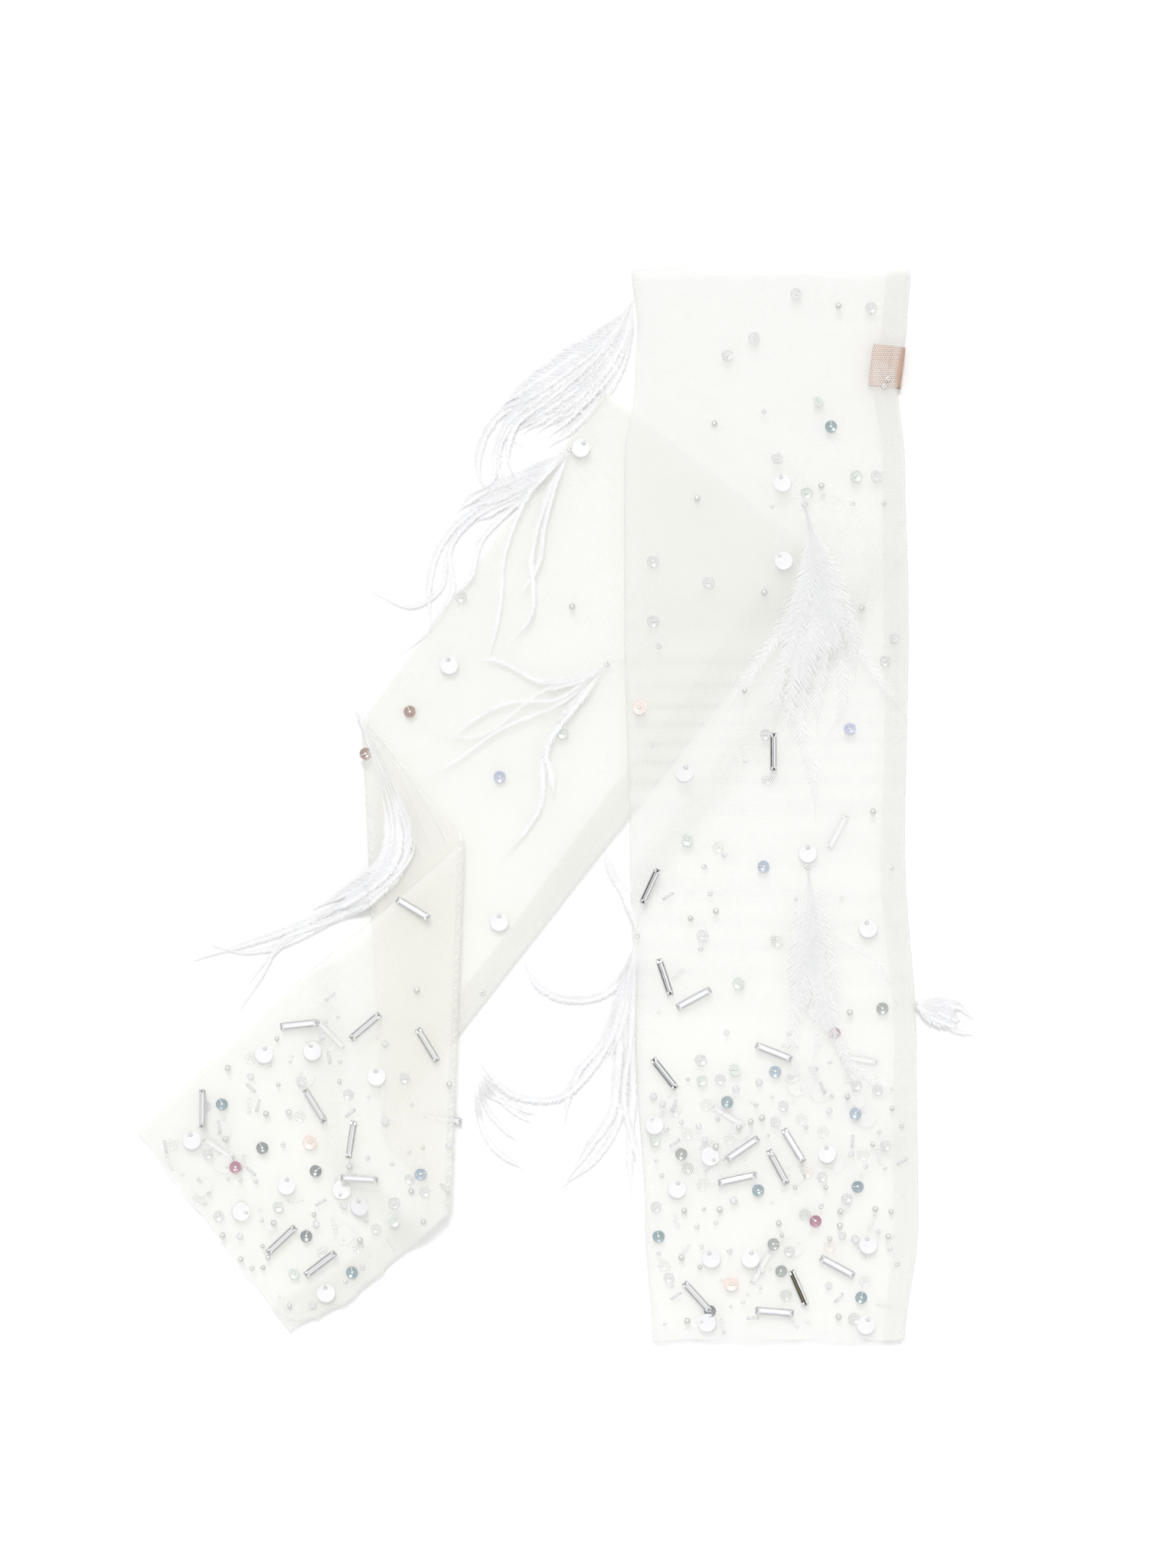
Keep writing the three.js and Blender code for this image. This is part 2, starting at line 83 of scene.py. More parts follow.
camera_data = bpy.data.cameras.new("camera")
camera_data.sensor_width = 36
camera_data.lens = 105.5
camera_data.clip_end = 20
camera = bpy.data.objects.new("camera", camera_data)
camera.location = Vector(in_place(camera_place))
bpy.context.collection.objects.link(camera)
bpy.context.scene.camera = camera
bpy.context.scene.view_settings.view_transform = "Standard"
bpy.context.scene.cycles.transparent_max_bounces = 96
bpy.context.scene.cycles.diffuse_bounces = 8


class Wire:
    """A node's output. Sums, products and powers of wires add their own Math nodes."""

    def __init__(self, tree, socket):
        self.tree = tree
        self.socket = socket

    def maths(self, operation, *values):
        return Bench(self.tree).node("ShaderNodeMath", {"operation": operation}, values)

    def __add__(self, other):
        return self.maths("ADD", self, other)

    def __radd__(self, other):
        return self.maths("ADD", other, self)

    def __sub__(self, other):
        return self.maths("SUBTRACT", self, other)

    def __rsub__(self, other):
        return self.maths("SUBTRACT", other, self)

    def __mul__(self, other):
        return self.maths("MULTIPLY", self, other)

    def __rmul__(self, other):
        return self.maths("MULTIPLY", other, self)

    def __mod__(self, other):
        return self.maths("FLOORED_MODULO", self, other)

    def __lt__(self, other):
        return self.maths("LESS_THAN", self, other)

    def __abs__(self):
        return self.maths("ABSOLUTE", self)


class Bench:
    """Where the nodes of one tree are put together."""

    def __init__(self, tree):
        self.tree = tree

    def node(self, kind, settings=None, values=(), output=0):
        """Adds a node: its settings first, then the values or wires of its inputs."""
        node = self.tree.nodes.new(kind)
        for name, value in (settings or {}).items():
            if name == "stops":
                ramp = node.color_ramp
                ramp.elements.remove(ramp.elements[1])
                for i, (position, colour) in enumerate(value):
                    stop = ramp.elements.new(position) if i else ramp.elements[0]
                    stop.position = position
                    stop.color = (*colour, 1)
            else:
                setattr(node, name, value)
        pairs = values.items() if isinstance(values, dict) else enumerate(values)
        for name, value in pairs:
            if isinstance(value, Wire):
                self.tree.links.new(value.socket, node.inputs[name])
            else:
                node.inputs[name].default_value = value
        return Wire(self.tree, node.outputs[output]) if len(node.outputs) else None

    def ramp(self, value, stops, interpolation="LINEAR"):
        ramp = self.node("ShaderNodeValToRGB", {"stops": stops}, {"Fac": value})
        ramp.socket.node.color_ramp.interpolation = interpolation
        return ramp

    def noise(self, place, scale, detail=3.0):
        return self.node("ShaderNodeTexNoise", {}, {"Vector": place, "Scale": scale, "Detail": detail})

    def bump(self, height, strength, distance):
        return self.node("ShaderNodeBump", {}, {"Height": height, "Strength": strength,
                                                "Distance": distance})


def new_finish(name):
    """An empty material, its bench and its Object coordinates."""
    material = bpy.data.materials.new(name)
    material.use_nodes = True
    material.node_tree.nodes.clear()
    bench = Bench(material.node_tree)
    return material, bench, bench.node("ShaderNodeTexCoord", output="Object")


def finish_with(bench, values):
    surface = bench.node("ShaderNodeBsdfPrincipled", {}, values)
    bench.node("ShaderNodeOutputMaterial", {}, {"Surface": surface})


def mottled_finish(name, scale, stops, values_of):
    """A finish whose tone follows one noise; values_of gives its other values from that noise."""
    material, bench, spot = new_finish(name)
    grain = bench.noise(spot, scale)
    finish_with(bench, {"Base Color": bench.ramp(grain, stops), **values_of(bench, grain)})
    return material


def new_mesh(name, points, faces, material, smooth=True):
    """A mesh object at the origin from points in metres."""
    mesh = bpy.data.meshes.new(name)
    mesh.from_pydata([tuple(p) for p in points], [], [tuple(f) for f in faces])
    mesh.polygons.foreach_set("use_smooth", [smooth] * len(mesh.polygons))
    mesh.materials.append(material)
    mesh.update()
    piece = bpy.data.objects.new(name, mesh)
    bpy.context.collection.objects.link(piece)
    return piece


table_finish = mottled_finish("white_table", 300.0,
                              [(0.3, (0.93, 0.93, 0.93)), (0.7, (0.96, 0.96, 0.96))],
                              lambda bench, grain: {"Roughness": 0.9, "Specular IOR Level": 0.0})
table_corners = [(x * table_reach, y * table_reach, -table_drop)
                 for x, y in ((-1, -1), (1, -1), (1, 1), (-1, 1))]
table = new_mesh("white_table", table_corners, [(0, 1, 2, 3)], table_finish)
table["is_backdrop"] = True

room = bpy.data.worlds.new("studio")
room.use_nodes = True
room.node_tree.nodes.clear()
bench = Bench(room.node_tree)
direction = bench.node("ShaderNodeTexCoord", output="Generated")
height = bench.node("ShaderNodeSeparateXYZ", {}, [direction], output=2)
sky = bench.ramp(height, [(0.0, (0.22, 0.225, 0.235)), (0.35, (0.5, 0.505, 0.515)),
                          (0.75, (0.93, 0.935, 0.945)), (1.0, (1.0, 1.0, 1.0))])
light = bench.node("ShaderNodeBackground", {}, {"Color": sky, "Strength": 0.98})
bench.node("ShaderNodeOutputWorld", {}, {"Surface": light})
bpy.context.scene.world = room

lamp_data = bpy.data.lights.new("key", "SUN")
lamp_data.energy = 1.1
lamp_data.angle = math.radians(12)
lamp = bpy.data.objects.new("key", lamp_data)
lamp.rotation_euler = (math.radians(-28), math.radians(-4), 0)
bpy.context.collection.objects.link(lamp)

# ---------------------------------------------------------------- the two tulle sleeves
# Each sleeve is one panel of off-white hexagonal-net tulle, closed into a tube by a single
# side seam and open at both ends. The left one lies underneath, pleated once at the elbow.

right_long = 560
right_half = 73
right_loft = 7.6
right_back_lift = 2.4
left_long = 535
shoulder_wide = 147
wrist_wide = 134
left_loft = 7
folded_loft = 4.2
folded_back_lift = 0.4
pleat_base = 4.8
fold_radius = 2.4
fold_steps = 10
fold_clearance = 4.5
lift_over_left = 7.6
lift_over_pleat = 9.6
front_drop = 0.2
edge_round = 4.0
forearm_swing = 9.0
net_cell = 1.15
net_thread = 0.098

# Where the two fold lines and the wrist hem meet the panel's left and right edges
first_fold = (215, 381)
second_fold = (297, 435)
wrist_hem = (529, 541)


def smooth_step(low, high, value):
    share = np.clip((value - low) / (high - low), 0, 1)
    return share * share * (3 - 2 * share)


def apron(outline, lift, level_for=14, down_by=36):
    """How high a layer still lies at a place beside the outline that it covers."""
    corners = np.array(outline)

    def height_at(points):
        away = np.full(points.shape[:-1], 1e9)
        turns = np.zeros(points.shape[:-1])
        for a, b in zip(corners, np.roll(corners, -1, 0)):
            edge = b - a
            to = points - a
            share = np.clip((to @ edge) / (edge @ edge), 0, 1)
            away = np.minimum(away, np.linalg.norm(to - share[..., None] * edge, axis=-1))
            turns += np.sign(edge[0] * to[..., 1] - edge[1] * to[..., 0])
        away = np.where(np.abs(turns) == len(corners), 0, away)
        return lift * (1 - smooth_step(level_for, down_by, away))

    return height_at


def lie_flat(points):
    return np.zeros(points.shape[:-1])


def unit(vector):
    return vector / np.linalg.norm(vector)


def mirrored(point, line):
    way = unit(line[1] - line[0])
    foot = line[0] + way * ((point - line[0]) @ way)
    return 2 * foot - point


# The left panel's heading, and the two lines of its pleat
shoulder_centre = np.array([-27.0, -108.0])
heading = math.radians(-127.3)
along = np.array([math.cos(heading), math.sin(heading)])
to_left = np.array([along[1], -along[0]])


def panel_point(distance, side):
    width = shoulder_wide - (shoulder_wide - wrist_wide) * distance / left_long
    return shoulder_centre + along * distance + to_left * side * width / 2


first_line = [panel_point(first_fold[0], 1), panel_point(first_fold[1], -1)]


def on_pleat(point):
    return mirrored(point, first_line)


second_line = [on_pleat(panel_point(second_fold[0], 1)), on_pleat(panel_point(second_fold[1], -1))]


def on_forearm(point):
    return mirrored(on_pleat(point), second_line)


upper_outline = [panel_point(0, 1), panel_point(0, -1), first_line[1], first_line[0]]
pleat_outline = [first_line[0], first_line[1], second_line[1], second_line[0]]
over_left = apron(upper_outline, lift_over_left)
over_pleat = apron(pleat_outline, lift_over_pleat)


def raised(point, height):
    return np.array([point[0], point[1], height])


def row_across(left, right, front, loft, stations, drape, back_lift):
    """One ruling of a tube, from its left edge to its right one."""
    return {"left": left, "right": right, "front": front, "loft": loft, "stations": stations,
            "drape": drape, "back_lift": back_lift}


# How far the right sleeve's left and right edges wander, as (share of its length, left, right)
right_drift = [(0, 1, 1), (0.05, 4, -1), (0.1, 3, -6), (0.18, -3, -2), (0.32, -3, 0),
               (0.54, 0, -2), (0.72, 3, 4), (0.89, 8, 5), (1, 12, -2)]


def drift_at(share, column):
    for a, b in zip(right_drift, right_drift[1:]):
        if share <= b[0]:
            return a[column] + (b[column] - a[column]) * smooth_step(a[0], b[0], share)
    return right_drift[-1][column]


front_up = np.array([0.0, 0.0, 1.0])
right_rows = []
for share in np.linspace(0, 1, 161):
    down = right_long * share
    left = np.array([-right_half + drift_at(share, 1), -down, right_loft / 2])
    right = np.array([right_half + drift_at(share, 2), -down, right_loft / 2])
    right_rows.append(row_across(left, right, front_up, right_loft, (down, down), over_left,
                                 right_back_lift))


def straight_rows(start, end, steps, lay, base, side_up, loft_at, drape):
    """The rulings of one flat stretch, each end's distance going evenly from start to end."""
    rows = []
    for share in np.linspace(0, 1, steps + 1):
        left = start[0] + (end[0] - start[0]) * share
        right = start[1] + (end[1] - start[1]) * share
        loft = loft_at(share)
        height = base + loft / 2
        rows.append(row_across(raised(lay(panel_point(left, 1)), height),
                               raised(lay(panel_point(right, -1)), height),
                               front_up * side_up, loft, (left, right), drape,
                               folded_back_lift + (loft - folded_loft) * 0.65))
    return rows


def fold_rows(before, after, line, body, axis_height, front_side, stations):
    """The half turn round a fold line, from the layer before it to the layer after."""
    way = unit(line[1] - line[0])
    outward = np.array([way[1], -way[0], 0.0])
    if outward[:2] @ (line[0] - body) < 0:
        outward = -outward
    rows = []
    for i in range(1, fold_steps):
        turn = math.pi * i / fold_steps
        radial = outward * math.sin(turn) - front_up * math.cos(turn)
        left, right = [raised(a + (b - a) * i / fold_steps, axis_height) + radial * fold_radius
                       for a, b in zip(before, after)]
        rows.append(row_across(left, right, radial * front_side, folded_loft, stations, lie_flat,
                               folded_back_lift))
    return rows


def stop_short(line, way):
    """How far before a fold line the flat layer ends, measured along the panel."""
    direction = unit(line[1] - line[0])
    return fold_clearance / abs(direction[0] * way[1] - direction[1] * way[0])


first_short = stop_short(first_line, along)
second_short = stop_short(second_line, on_pleat(along) - on_pleat(np.zeros(2)))
loft_lost = left_loft - folded_loft
upper_rows = straight_rows((0, 0), [d - first_short for d in first_fold], steps=84,
                           lay=lambda point: point, base=0.0, side_up=1, drape=lie_flat,
                           loft_at=lambda s: left_loft - loft_lost * smooth_step(0.35, 0.68, s))
pleat_rows = straight_rows([d + first_short for d in first_fold],
                           [d - second_short for d in second_fold], steps=16, lay=on_pleat,
                           base=pleat_base, side_up=-1, drape=lie_flat, loft_at=lambda s: folded_loft)
forearm_rows = straight_rows([d + second_short for d in second_fold], wrist_hem, steps=56,
                             lay=on_forearm, base=0.0, side_up=1, drape=over_pleat,
                             loft_at=lambda s: folded_loft + loft_lost * smooth_step(0.1, 0.6, s))


def ends_of(row):
    return [row["left"][:2], row["right"][:2]]


first_bend = fold_rows(ends_of(upper_rows[-1]), ends_of(pleat_rows[0]), first_line, shoulder_centre,
                       axis_height=4.5, front_side=-1, stations=first_fold)
second_bend = fold_rows(ends_of(pleat_rows[-1]), ends_of(forearm_rows[0]), second_line, first_line[0],
                        axis_height=9.3, front_side=1, stations=second_fold)

# Past the pleat the forearm swings a little towards its outer edge
hem_way = unit(forearm_rows[-1]["left"][:2] - forearm_rows[-1]["right"][:2])
hem_way = hem_way if hem_way[1] > 0 else -hem_way
for i, row in enumerate(forearm_rows):
    share = i / len(forearm_rows)
    row["left"][:2] += 0.75 * forearm_swing * smooth_step(0.0, 0.6, share) * hem_way
    row["right"][:2] += forearm_swing * smooth_step(0.6, 1.0, share) * hem_way
left_rows = upper_rows + first_bend + pleat_rows + second_bend + forearm_rows


def net_finish(name, tint, thread):
    """Fine hexagonal net: threads on the cell walls of the piece's UV map, holes between."""
    material, bench, spot = new_finish(name)
    chart = bench.node("ShaderNodeTexCoord", output="UV")
    across = bench.node("ShaderNodeSeparateXYZ", {}, [chart], output=0) * (1000 / net_cell)
    down = bench.node("ShaderNodeSeparateXYZ", {}, [chart], output=1) * (1000 / net_cell)
    row = math.sqrt(3)
    ax = across % 1.0 - 0.5
    ay = down % row - row / 2
    bx = (across + 0.5) % 1.0 - 0.5
    by = (down + row / 2) % row - row / 2
    a_nearer = (ax * ax + ay * ay) < (bx * bx + by * by)
    x = abs(bx + (ax - bx) * a_nearer)
    y = abs(by + (ay - by) * a_nearer)
    wall = 0.5 - x.maths("MAXIMUM", x, x * 0.5 + y * 0.866)
    streaks = bench.node("ShaderNodeMapping", {}, {"Vector": chart, "Scale": (70, 5, 1)})
    width = thread * (0.86 + 0.28 * bench.noise(streaks, 1.0))
    mask = bench.node("ShaderNodeMapRange", {"interpolation_type": "SMOOTHSTEP"},
                      {"Value": wall, "From Min": width * 1.35, "From Max": width * 0.65})
    # Painted shade: the net's colour grows a little greyer the higher it lies in Y, towards the
    # shoulders, with some random tone mixed in
    up = bench.node("ShaderNodeSeparateXYZ", {}, [spot], output=1)
    tone = bench.noise(spot, 14.0) * 0.4 + up
    colour = bench.ramp(tone, [(0.0, tint), (0.45, tuple(c * 0.955 for c in tint))])
    slub = bench.bump(bench.noise(spot, 2600.0, 1.0), 0.3, 0.0001)
    # Painted light: a faint warm emission makes the net glow slightly, lightening it as light through
    # its threads would
    finish_with(bench, {"Base Color": colour, "Roughness": 0.75, "Alpha": mask, "Normal": slub,
                        "Specular IOR Level": 0.2, "Emission Color": (1, 0.99, 0.95, 1),
                        "Emission Strength": 0.02})
    return material


right_net = net_finish("right_tulle", (0.967, 0.964, 0.935), net_thread)
left_net = net_finish("left_tulle", (0.965, 0.961, 0.92), net_thread)

edge_steps = [0, 0.3, 0.9, 1.8, 2.9]
edge_inset = 4.2
middle_count = 46
front_count = middle_count + 2 * len(edge_steps)


def tube_skin(rows, ripple_seed):
    """The tube as one skin of net: front layer, right edge, back layer, left edge."""
    rng = np.random.default_rng(ripple_seed)
    waves = rng.uniform(0, 2 * math.pi, 8)
    width = np.linalg.norm(rows[0]["right"] - rows[0]["left"])
    middle = np.linspace(edge_inset, width - edge_inset, middle_count)
    inset = np.concatenate([edge_steps, middle, width - np.array(edge_steps[::-1])])
    shares = np.concatenate([inset, inset[-2:0:-1]]) / width
    is_front = np.arange(len(shares)) < front_count
    loops, charts = [], []
    for row in rows:
        span = row["right"] - row["left"]
        wide = np.linalg.norm(span)
        spots = row["left"] + shares[:, None] * span
        spots[:, 2] += row["drape"](spots[:, :2])
        edge = np.minimum(shares, 1 - shares) * wide
        crown = np.sqrt(1 - (1 - np.clip(edge / edge_round, 0, 1)) ** 2)
        stations = row["stations"][0] + (row["stations"][1] - row["stations"][0]) * shares
        u = shares * wide
        ripple = (0.5 + 0.2 * np.sin(u / 11 + 1.4 * np.sin(stations / 60 + waves[0]) + waves[1])
                  + 0.18 * np.sin(u / 6.3 - stations / 90 + waves[2])
                  + 0.12 * np.sin(stations / 17 + u / 40 + waves[3]))
        half = row["loft"] / 2
        loose = np.clip((row["loft"] - 3.6) / 4, 0.1, 1)
        front_offset = half - front_drop - 0.9 * loose * ripple
        back_offset = -(half - row["back_lift"]) - 0.5 * loose * ripple
        offset = np.where(is_front, front_offset, back_offset) * crown
        loops.append(spots + offset[:, None] * row["front"])
        around = np.where(is_front, u, 2 * wide - u) * 0.001
        charts.append(np.column_stack([around, stations * 0.001]))
    return np.array(loops), np.array(charts), is_front


def skin_object(name, loops, charts, material):
    count, around = loops.shape[:2]
    points = in_place(loops.reshape(-1, 3))
    faces, chart = [], []
    for i in range(count - 1):
        for k in range(around):
            after = (k + 1) % around
            ring = [(i, k), (i + 1, k), (i + 1, after), (i, after)]
            faces.append([a * around + b for a, b in ring])
            wrap = 2 * charts[i, 0, 0] + (charts[i].max(0)[0] * 1.001 if after == 0 else 0)
            chart += [(wrap if b == 0 and after == 0 else charts[a, b, 0], charts[a, b, 1])
                      for a, b in ring]
    piece = new_mesh(name, points, faces, material)
    layer = piece.data.uv_layers.new(name="chart")
    layer.data.foreach_set("uv", np.array(chart).ravel())
    return piece


right_loops, right_charts, is_front = tube_skin(right_rows, 4)
left_loops, left_charts, is_front = tube_skin(left_rows, 9)

# Raw hems: the shoulder's back edge stands a little above its front one, the wrists are wavy
hem_rows = 6
back_stands_up = 3.2
hem_x = right_loops[0, :, 0]
for i in range(hem_rows):
    fade = (1 - i / hem_rows) ** 2
    behind = ~is_front * np.clip((-30 - hem_x) / 14, 0, 1) * back_stands_up
    right_loops[i, :, 1] += fade * (behind + 0.5 * np.sin(hem_x / 9))
for loops, phase in ((right_loops, 0.0), (left_loops, 2.0)):
    way = loops[-1] - loops[-2]
    way /= np.linalg.norm(way, axis=1)[:, None]
    side = np.linalg.norm(loops[-1] - loops[-1, 0], axis=1)
    for i in range(hem_rows):
        fade = (1 - i / hem_rows) ** 2
        wave = np.sin(side / 8.5 + phase + 1.7 * is_front) + 0.6 * np.sin(side / 3.7 + phase)
        loops[-1 - i] += way * (fade * (0.6 * wave - 0.6))[:, None]

# The left wrist's lower corner is rounded off, and its seam edge is puckered
corner_rows = 17
corner_pull = 8.5
pucker_rows = 46
seam_side = np.linalg.norm(left_loops - left_loops[:, :1], axis=2) / wrist_wide
for i in range(1, corner_rows + 1):
    fade = (1 - (i - 1) / corner_rows) ** 2
    pull = corner_pull * np.clip((seam_side[-i] - 0.84) / 0.16, 0, 1) ** 2
    way = left_loops[-i] - left_loops[-i - 1]
    way /= np.linalg.norm(way, axis=1)[:, None]
    left_loops[-i] -= way * (pull * fade)[:, None]
for i in range(1, pucker_rows):
    inward = unit(left_loops[-i, 0] - left_loops[-i, front_count - 1])
    fade = min(1, (pucker_rows - i) / 10)
    pucker = fade * (0.9 + 0.9 * math.sin(i * 0.55) + 0.5 * math.sin(i * 1.3))
    left_loops[-i] += inward * (pucker * np.clip((seam_side[-i] - 0.9) / 0.1, 0, 1))[:, None]

right_sleeve = skin_object("right_sleeve_tulle", right_loops, right_charts, right_net)
left_sleeve = skin_object("left_sleeve_tulle", left_loops, left_charts, left_net)
for sleeve, side in ((right_sleeve, "right"), (left_sleeve, "left")):
    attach(sleeve, side + "_sleeve")
    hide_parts(side + "_sleeve_tube")


def layers_of(piece):
    points = [v.co.copy() for v in piece.data.vertices]
    return BVHTree.FromPolygons(points, [tuple(p.vertices) for p in piece.data.polygons])


layers = {"right": layers_of(right_sleeve), "left": layers_of(left_sleeve)}


def top_at(x, y, sides=("right", "left")):
    """Height in millimetres of the topmost net at a place, 0 on the table."""
    start = Vector(in_place([x, y, 200]))
    hits = [layers[side].ray_cast(start, Vector((0, 0, -1)))[0] for side in sides]
    return max([hit.z * 1000 for hit in hits if hit is not None] + [0.0])


def under_at(x, y, side):
    """Height in millimetres of a sleeve's lowest net at a place, or None beside it."""
    hit = layers[side].ray_cast(Vector(in_place([x, y, -50])), Vector((0, 0, 1)))[0]
    return None if hit is None else hit.z * 1000


# ---------------------------------------------------------------- side seams
# Along one edge of each tube the panel's two raw edges are stitched together. The doubled net
# of the allowance shows as a darker band, partly from its two plies and partly from painted shade in its
# colour, with a line of small straight stitches down it.

allowance_wide = {"right": 12.5, "left": 18.0}
stitch_in = 6.3
stitch_pitch = 2.6
stitch_long = 1.5
stitch_thick = 0.26
ply_gap = 0.5
ply_shift = 0.00047
seat_share = 0.14

# Painted shade: the allowance's net is coloured darker than the sleeves' net, on top of the real
# darkening of its two plies
seam_net = net_finish("seam_tulle", (0.89, 0.887, 0.86), net_thread)
thread_finish = mottled_finish("sewing_thread", 1800.0,
                               [(0.35, (0.8, 0.8, 0.78)), (0.7, (0.93, 0.93, 0.9))],
                               lambda bench, grain: {"Roughness": 0.6,
                                                     "Normal": bench.bump(grain, 0.4, 0.0001)})


def capsule(name, long, thick, sides):
    """A short rounded bar along X, as a loose object that instances are made from."""
    stations = [(-0.5, 0.35), (-0.4, 1), (0.4, 1), (0.5, 0.35)]
    points = [(s * long, math.cos(2 * math.pi * k / sides) * thick / 2 * r,
               math.sin(2 * math.pi * k / sides) * thick / 2 * r)
              for s, r in stations for k in range(sides)]
    faces = [[i * sides + k, i * sides + (k + 1) % sides, (i + 1) * sides + (k + 1) % sides,
              (i + 1) * sides + k] for i in range(3) for k in range(sides)]
    faces += [list(range(sides))[::-1], list(range(3 * sides, 4 * sides))]
    return new_mesh(name, np.array(points) * 0.001, faces, thread_finish)


def new_tree(name, inputs):
    """An empty Geometry Nodes tree with the named inputs, its bench and its input node."""
    tree = bpy.data.node_groups.new(name, "GeometryNodeTree")
    tree.interface.new_socket("Geometry", in_out="INPUT", socket_type="NodeSocketGeometry")
    for label, kind in inputs:
        tree.interface.new_socket(label, in_out="INPUT", socket_type="NodeSocket" + kind)
    tree.interface.new_socket("Geometry", in_out="OUTPUT", socket_type="NodeSocketGeometry")
    bench = Bench(tree)
    entry = tree.nodes.new("NodeGroupInput")
    given = {socket.name: Wire(tree, socket) for socket in entry.outputs if socket.name}
    return tree, bench, given


def close_tree(bench, geometry, material):
    """Ends a tree in Realize Instances and Set Material."""
    real = bench.node("GeometryNodeRealizeInstances", {}, {"Geometry": geometry})
    painted = bench.node("GeometryNodeSetMaterial", {}, {"Geometry": real, "Material": material})
    bench.node("NodeGroupOutput", {}, [painted])


def grown(name, source, tree, values):
    """Runs a tree on a source object once and keeps the result as a plain mesh object."""
    modifier = source.modifiers.new("grow", "NODES")
    modifier.node_group = tree
    for socket in tree.interface.items_tree:
        if socket.in_out == "INPUT" and socket.name in values:
            modifier[socket.identifier] = values[socket.name]
    evaluated = source.evaluated_get(bpy.context.evaluated_depsgraph_get())
    mesh = bpy.data.meshes.new_from_object(evaluated)
    mesh.name = name
    piece = bpy.data.objects.new(name, mesh)
    bpy.context.collection.objects.link(piece)
    source.modifiers.remove(modifier)
    bpy.data.objects.remove(source)
    return piece


def new_paths(name, paths):
    """Poly curves from lists of (x, y, z) in millimetres, each with its points' radii."""
    curve = bpy.data.curves.new(name, "CURVE")
    curve.dimensions = "3D"
    for path, radii in paths:
        spline = curve.splines.new("POLY")
        spline.points.add(len(path) - 1)
        for point, place, radius in zip(spline.points, in_place(path), radii):
            point.co = (*place, 1)
            point.radius = radius
    holder = bpy.data.objects.new(name, curve)
    bpy.context.collection.objects.link(holder)
    return holder


stitch_tree, bench, given = new_tree("stitch_line", [("Stitch", "Object"), ("Pitch", "Float"),
                                                     ("Thread", "Material")])
steps = bench.node("GeometryNodeResampleCurve", {"mode": "LENGTH"},
                   {"Curve": given["Geometry"], "Length": given["Pitch"]})
bar = bench.node("GeometryNodeObjectInfo", {}, {"Object": given["Stitch"]}, output=4)
turn = bench.node("FunctionNodeAxesToRotation", {"primary_axis": "X", "secondary_axis": "Z"},
                  [bench.node("GeometryNodeInputTangent"), (0, 0, 1)])
sewn = bench.node("GeometryNodeInstanceOnPoints", {},
                  {"Points": steps, "Instance": bar, "Rotation": turn})
close_tree(bench, sewn, given["Thread"])

stitch_bar = capsule("stitch_bar", stitch_long, stitch_thick, 6)
stitches = {}
for side, rows in (("right", right_rows), ("left", left_rows)):
    wide = allowance_wide[side]
    columns = [1.6, stitch_in - 1.5, stitch_in + 1.5, wide * 0.75, wide]
    loops, charts, line = [], [], []
    for row in rows:
        inward = unit(row["left"] - row["right"])
        middle = row["right"] + np.outer(columns, inward)
        middle[:, 2] += row["drape"](middle[:, :2])
        middle += row["front"] * (row["loft"] * seat_share)
        middle[3:] += inward * 0.8 * math.sin(row["stations"][1] / 23)
        loops.append(middle)
        charts.append([(c * 0.001, row["stations"][1] * 0.001) for c in columns])
        seat = row["right"] + stitch_in * inward
        seat[2] += row["drape"](seat[:2])
        line.append(seat + row["front"] * (row["loft"] * seat_share + 0.25))
    loops = np.array(loops)
    charts = np.array(charts)
    count, wide_count = loops.shape[:2]
    low = loops - np.array([row["front"] for row in rows])[:, None, :] * ply_gap
    points = in_place(np.concatenate([loops.reshape(-1, 3), low.reshape(-1, 3)]))
    faces, chart = [], []
    for ply in (0, 1):
        for i in range(count - 1):
            for k in range(wide_count - 1):
                ring = [(i, k), (i, k + 1), (i + 1, k + 1), (i + 1, k)]
                faces.append([ply * count * wide_count + a * wide_count + b for a, b in ring])
                chart += [charts[a, b] + ply * ply_shift for a, b in ring]
    band = new_mesh(side + "_seam_allowance", points, faces, seam_net)
    band.data.uv_layers.new(name="chart").data.foreach_set("uv", np.array(chart).ravel())
    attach(band, side + "_sleeve")
    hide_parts(side + "_side_seam")
    holder = new_paths(side + "_stitch_path", [(line, [1] * len(line))])
    stitches[side] = grown(side + "_seam_stitches", holder, stitch_tree,
                           {"Stitch": stitch_bar, "Pitch": stitch_pitch * 0.001,
                            "Thread": thread_finish})
    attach(stitches[side], side + "_sleeve")
bpy.data.objects.remove(stitch_bar)

# ---------------------------------------------------------------- label
# A blank pink satin ribbon, folded in two and caught by its ends in the right sleeve's side
# seam. It lies between the two layers of net and can turn a little about the seam.

label_tall = 22.0
label_middle = (61.5, -50.5)
label_height = 3.6
label_tilt = math.radians(-7)
label_sewn_from = 1.6
label_rows = 12
ply_thick = 0.00016

satin, bench, spot = new_finish("label_satin")
weft = bench.node("ShaderNodeTexWave", {"wave_type": "BANDS", "bands_direction": "Y"},
                  {"Vector": spot, "Scale": 900.0, "Distortion": 0.6})
warp = bench.node("ShaderNodeTexWave", {"wave_type": "BANDS", "bands_direction": "X"},
                  {"Vector": spot, "Scale": 520.0, "Distortion": 0.4})
pink = bench.ramp(bench.noise(spot, 120.0), [(0.3, (0.6, 0.42, 0.32)), (0.7, (0.7, 0.49, 0.39))])
finish_with(bench, {"Base Color": pink, "Roughness": 0.42 + 0.1 * weft,
                    "Normal": bench.bump(weft + warp, 0.35, 0.0001)})


